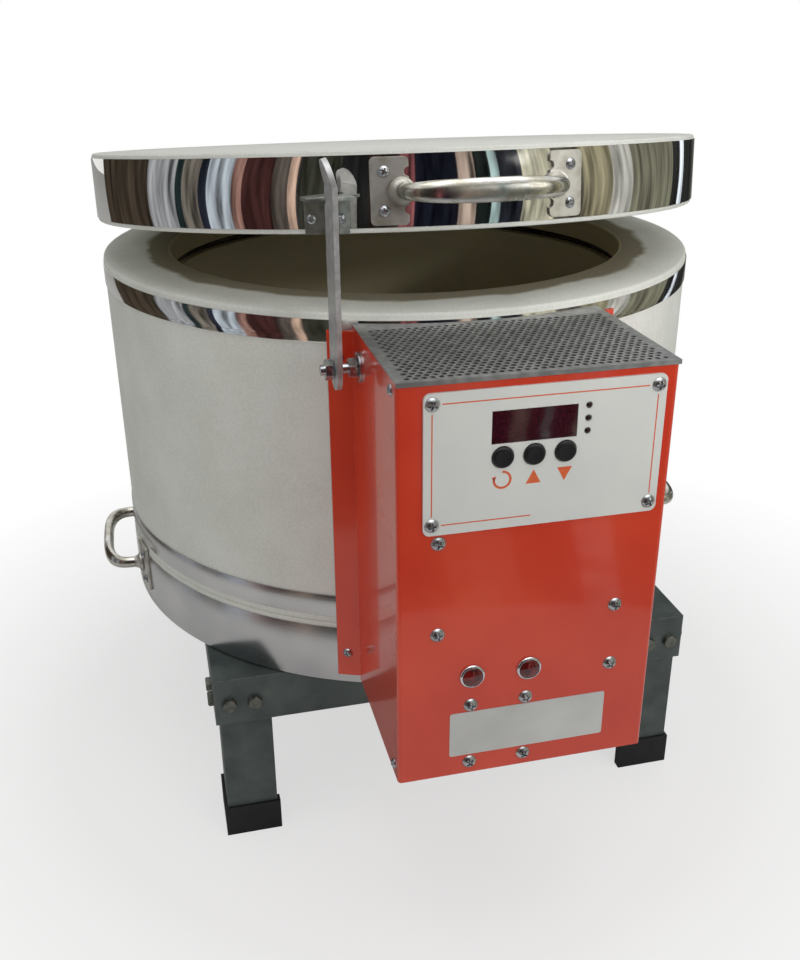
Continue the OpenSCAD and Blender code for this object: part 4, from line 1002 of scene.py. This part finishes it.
nut_low, nut_high = corners("pivot_nuts")
NUT_AF, NUT_H, PIVOT_D = 11.1, 5.4, 6.35
pivot = middle("pivot_nuts")
nut = hex_head(NUT_AF, NUT_H)
bore = bmesh.new()
rod(bore, PIVOT_D, 30, segments=32)
nut = cut(nut, bore)
soften(nut, 0.2, segments=2, angle=25)
nuts = bmesh.new()
for x in (nut_low.x, nut_high.x - NUT_H):
    join(nuts, nut, Matrix.Translation((x, pivot.y, pivot.z)) @ Matrix.Rotation(pi/2, 4, "Y")
         @ Matrix.Rotation(radians(x), 4, "Z"))
nut.free()
nuts = show("pivot_hex_nuts", nuts, ZINC)
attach(nuts, "kiln")
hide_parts("pivot_nuts")

# Lid
# A slab of the same fibre board, 48 mm thick, in a wide mirror-polished band. It stands open on the prop
# arm, 6 degrees up on the hinge pin at the back.

LID_AJAR = 6.0
LID_SEAT, LID_T, LID_ROUND = 0.3, 47.6, 1.6
BAND_RISE, BAND_W, LID_LAP_AT = 2.9, 42, 150
hinge_at = Vector(next(j for j in frame["joints"] if j["name"] == "lid_hinge")["pos_m"])
ON_LID = (Matrix.Translation(hinge_at) @ Matrix.Rotation(radians(-LID_AJAR), 4, "X")
          @ Matrix.Translation(-hinge_at) @ ON_KILN)
lid_z = rim_z + LID_SEAT
band_z = lid_z + BAND_RISE
handle_z = band_z + BAND_W/2
lid_top = lid_z + LID_T
board = turned([(0, lid_z), (CHAMBER_R, lid_z), (body_r, lid_z), (body_r, lid_top), (0, lid_top)], 192)
soften(board, LID_ROUND, segments=4)
stain_chamber(board, True)
lid = show("lid_fibre", board, LID_FIBRE, FIRED, place=ON_LID)
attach(lid, "lid")
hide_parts("lid_slab")

LID_MIRROR = polished_steel("mirror_stainless", "#d8d6d2", 0.02, 0.22)
hoop = show("lid_strip", strip(band_z, BAND_W, LID_LAP_AT), LID_MIRROR, place=ON_LID)
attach(hoop, "lid")
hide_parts("lid_band")

# Chest handles
# Cast grips, oval in section and swelled in the middle, let into the collars of scalloped plates and
# finished in nickel that has yellowed a little. One is on the lid and one on each side of the slab.

GRIP_SPAN, GRIP_REACH, GRIP_DEPTH, GRIP_END_H, GRIP_MID_H = 96, 21, 8, 9, 14
PLATE_T, COLLAR_H, GRIP_CLEAR, SHEET_GAP, BOW_POWER = 1.6, 5, 0.3, 0.1, 0.625
grip_foot = sqrt(band_r**2 - GRIP_SPAN**2/4) + PLATE_T + COLLAR_H + GRIP_CLEAR


def nickel_plate(name, low, high, metallic):
    """Worn nickel: warm grey, tarnished and dulled in patches, finely pitted."""
    material, tree, where = new_finish(name, "#cfcabb", low, metallic)
    tarnish = add_node(tree, "TexNoise", {"Vector": where, "Scale": per_mm(11), "Detail": 6.0})
    mottle(tree, tarnish, 0.38, 0.68, "#d0cec8", "#a5a192")
    vary_gloss(tree, tarnish, low, high, 0.3, 0.75)
    pits = add_node(tree, "TexNoise", {"Vector": where, "Scale": per_mm(1.4), "Detail": 3.0})
    relief(tree, pits, 0.18, 0.15, rubbed_edges(tree, 0.5)[0])
    return material


NICKEL = nickel_plate("worn_nickel", 0.14, 0.36, 1.0)


def bow(t):
    """Middle line of a grip at t, from 0 at one end to pi at the other: (along, out)."""
    side = -1 if cos(t) > 0 else 1
    return Vector((side*abs(cos(t))**BOW_POWER*GRIP_SPAN/2, max(sin(t), 0)**BOW_POWER*GRIP_REACH))


def grip_station(t):
    """The place and size of the oval section at t."""
    here = bow(t)
    along = (bow(min(t + 0.02, pi)) - bow(max(t - 0.02, 0))).normalized()
    height = GRIP_END_H + (GRIP_MID_H - GRIP_END_H)*sin(t)**2
    turn = Matrix(((-along.y, 0, along.x, here.x), (-along.x, 0, -along.y, -here.y),
                   (0, 1, 0, 0), (0, 0, 0, 1)))
    return turn @ Matrix.Diagonal((GRIP_DEPTH/2, height/2, 1, 1))


GRIP_STATIONS, GRIP_SIDES = 72, 28


def swept_grip():
    """The oval section drawn along the bow, one extruded ring after another."""
    bm = bmesh.new()
    before = grip_station(0)
    bmesh.ops.create_circle(bm, cap_ends=True, segments=GRIP_SIDES, radius=1, matrix=before)
    front = bm.edges[:]
    for i in range(1, GRIP_STATIONS + 1):
        after = grip_station(pi*i/GRIP_STATIONS)
        grown = bmesh.ops.extrude_edge_only(bm, edges=front)["geom"]
        bmesh.ops.transform(bm, matrix=after @ before.inverted(),
                            verts=[v for v in grown if isinstance(v, bmesh.types.BMVert)])
        front = [e for e in grown if isinstance(e, bmesh.types.BMEdge)
                 and all(v in grown for v in e.verts)]
        before = after
    bmesh.ops.holes_fill(bm, edges=[e for e in bm.edges if e.is_boundary], sides=0)
    bmesh.ops.recalc_face_normals(bm, faces=bm.faces)
    bm.transform(Matrix.Translation((0, -grip_foot, 0)))
    return bm


side_z = middle("side_grip_plates").z
for node, name, angle, height, place, carrier in (
        ("lid_grip", "lid_chest_grip", 0, handle_z, ON_LID, "lid"),
        ("left_grip", "left_chest_grip", -90, side_z, ON_KILN, "kiln"),
        ("right_grip", "right_chest_grip", 90, side_z, ON_KILN, "kiln")):
    bar = swept_grip()
    bar.transform(Matrix.Translation((0, 0, height)) @ Matrix.Rotation(radians(angle), 4, "Z"))
    grip = show(name, bar, NICKEL, place=place)
    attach(grip, carrier)
    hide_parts(node)

dress(nickel_plate("satin_nickel", 0.38, 0.5, 0.72), "lid_grip_plates", "side_grip_plates")

PLATE_SCREW_X, PLATE_SCREW_Z, SHANK_IN = 10, 11.31, 12
collar_angle = degrees(asin(GRIP_SPAN/2/band_r))


def grip_screws(turn, height):
    """The four screws of one handle's plates."""
    return [out_of(turn + side*collar_angle, side*PLATE_SCREW_X, height + s*PLATE_SCREW_Z,
                   band_r + PLATE_T + SHEET_GAP)
            for side in (-1, 1) for s in (-1, 1)]


CATCH_H, CATCH_T, CATCH_SCREW_TURN = 22, 2, 2.2
HINGE_OUT, LEAF_SCREW_TURN, LEAF_SCREWS_UP = 2.7, 8, (16, 34)
BASE_SCREW_TURN, BASE_SCREWS_DOWN = 9, (30, 52)
catch_at = degrees(asin(middle("catch_bracket").x/band_r))
catch_z = lid_z + CATCH_H/2 - CATCH_T
catch_places = [out_of(catch_at + s*CATCH_SCREW_TURN, 0, catch_z, band_r + SHEET_GAP + CATCH_T)
                for s in (-1, 1)]
leaf_places = [out_of(180 + s*LEAF_SCREW_TURN, 0, lid_z + up, band_r + HINGE_OUT)
               for s in (-1, 1) for up in LEAF_SCREWS_UP]
hinge_places = [out_of(180 + s*BASE_SCREW_TURN, 0, rim_z - down, band_r + HINGE_OUT)
                for s in (-1, 1) for down in BASE_SCREWS_DOWN]
lid_places = grip_screws(0, handle_z) + leaf_places
lid_screws = show("lid_cross_screws", driven((SMALL_HEAD_D, lid_places, SHANK_IN),
                                             (CATCH_HEAD_D, catch_places, SHANK_IN)), ZINC, place=ON_LID)
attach(lid_screws, "lid")
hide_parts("lid_screws")

body_places = grip_screws(-90, side_z) + grip_screws(90, side_z) + hinge_places
body_screws = show("body_cross_screws", driven((SMALL_HEAD_D, body_places, SHANK_IN)), ZINC)
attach(body_screws, "kiln")
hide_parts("body_screws")

# Catch bracket and hinge
# A folded steel angle on the lid's band that catches the prop arm, and the strap hinge at the back. Both
# are zinc plated, and the bracket has gone dull and slightly green.

dress(zinc_plate("dulled_zinc_bracket", "#c3cac5", "#9aa29d", 0.36, 5), "catch_bracket")
dress(FLAT_BAR, "hinge_base", "hinge_leaf")
dress(ZINC, "hinge_pin")
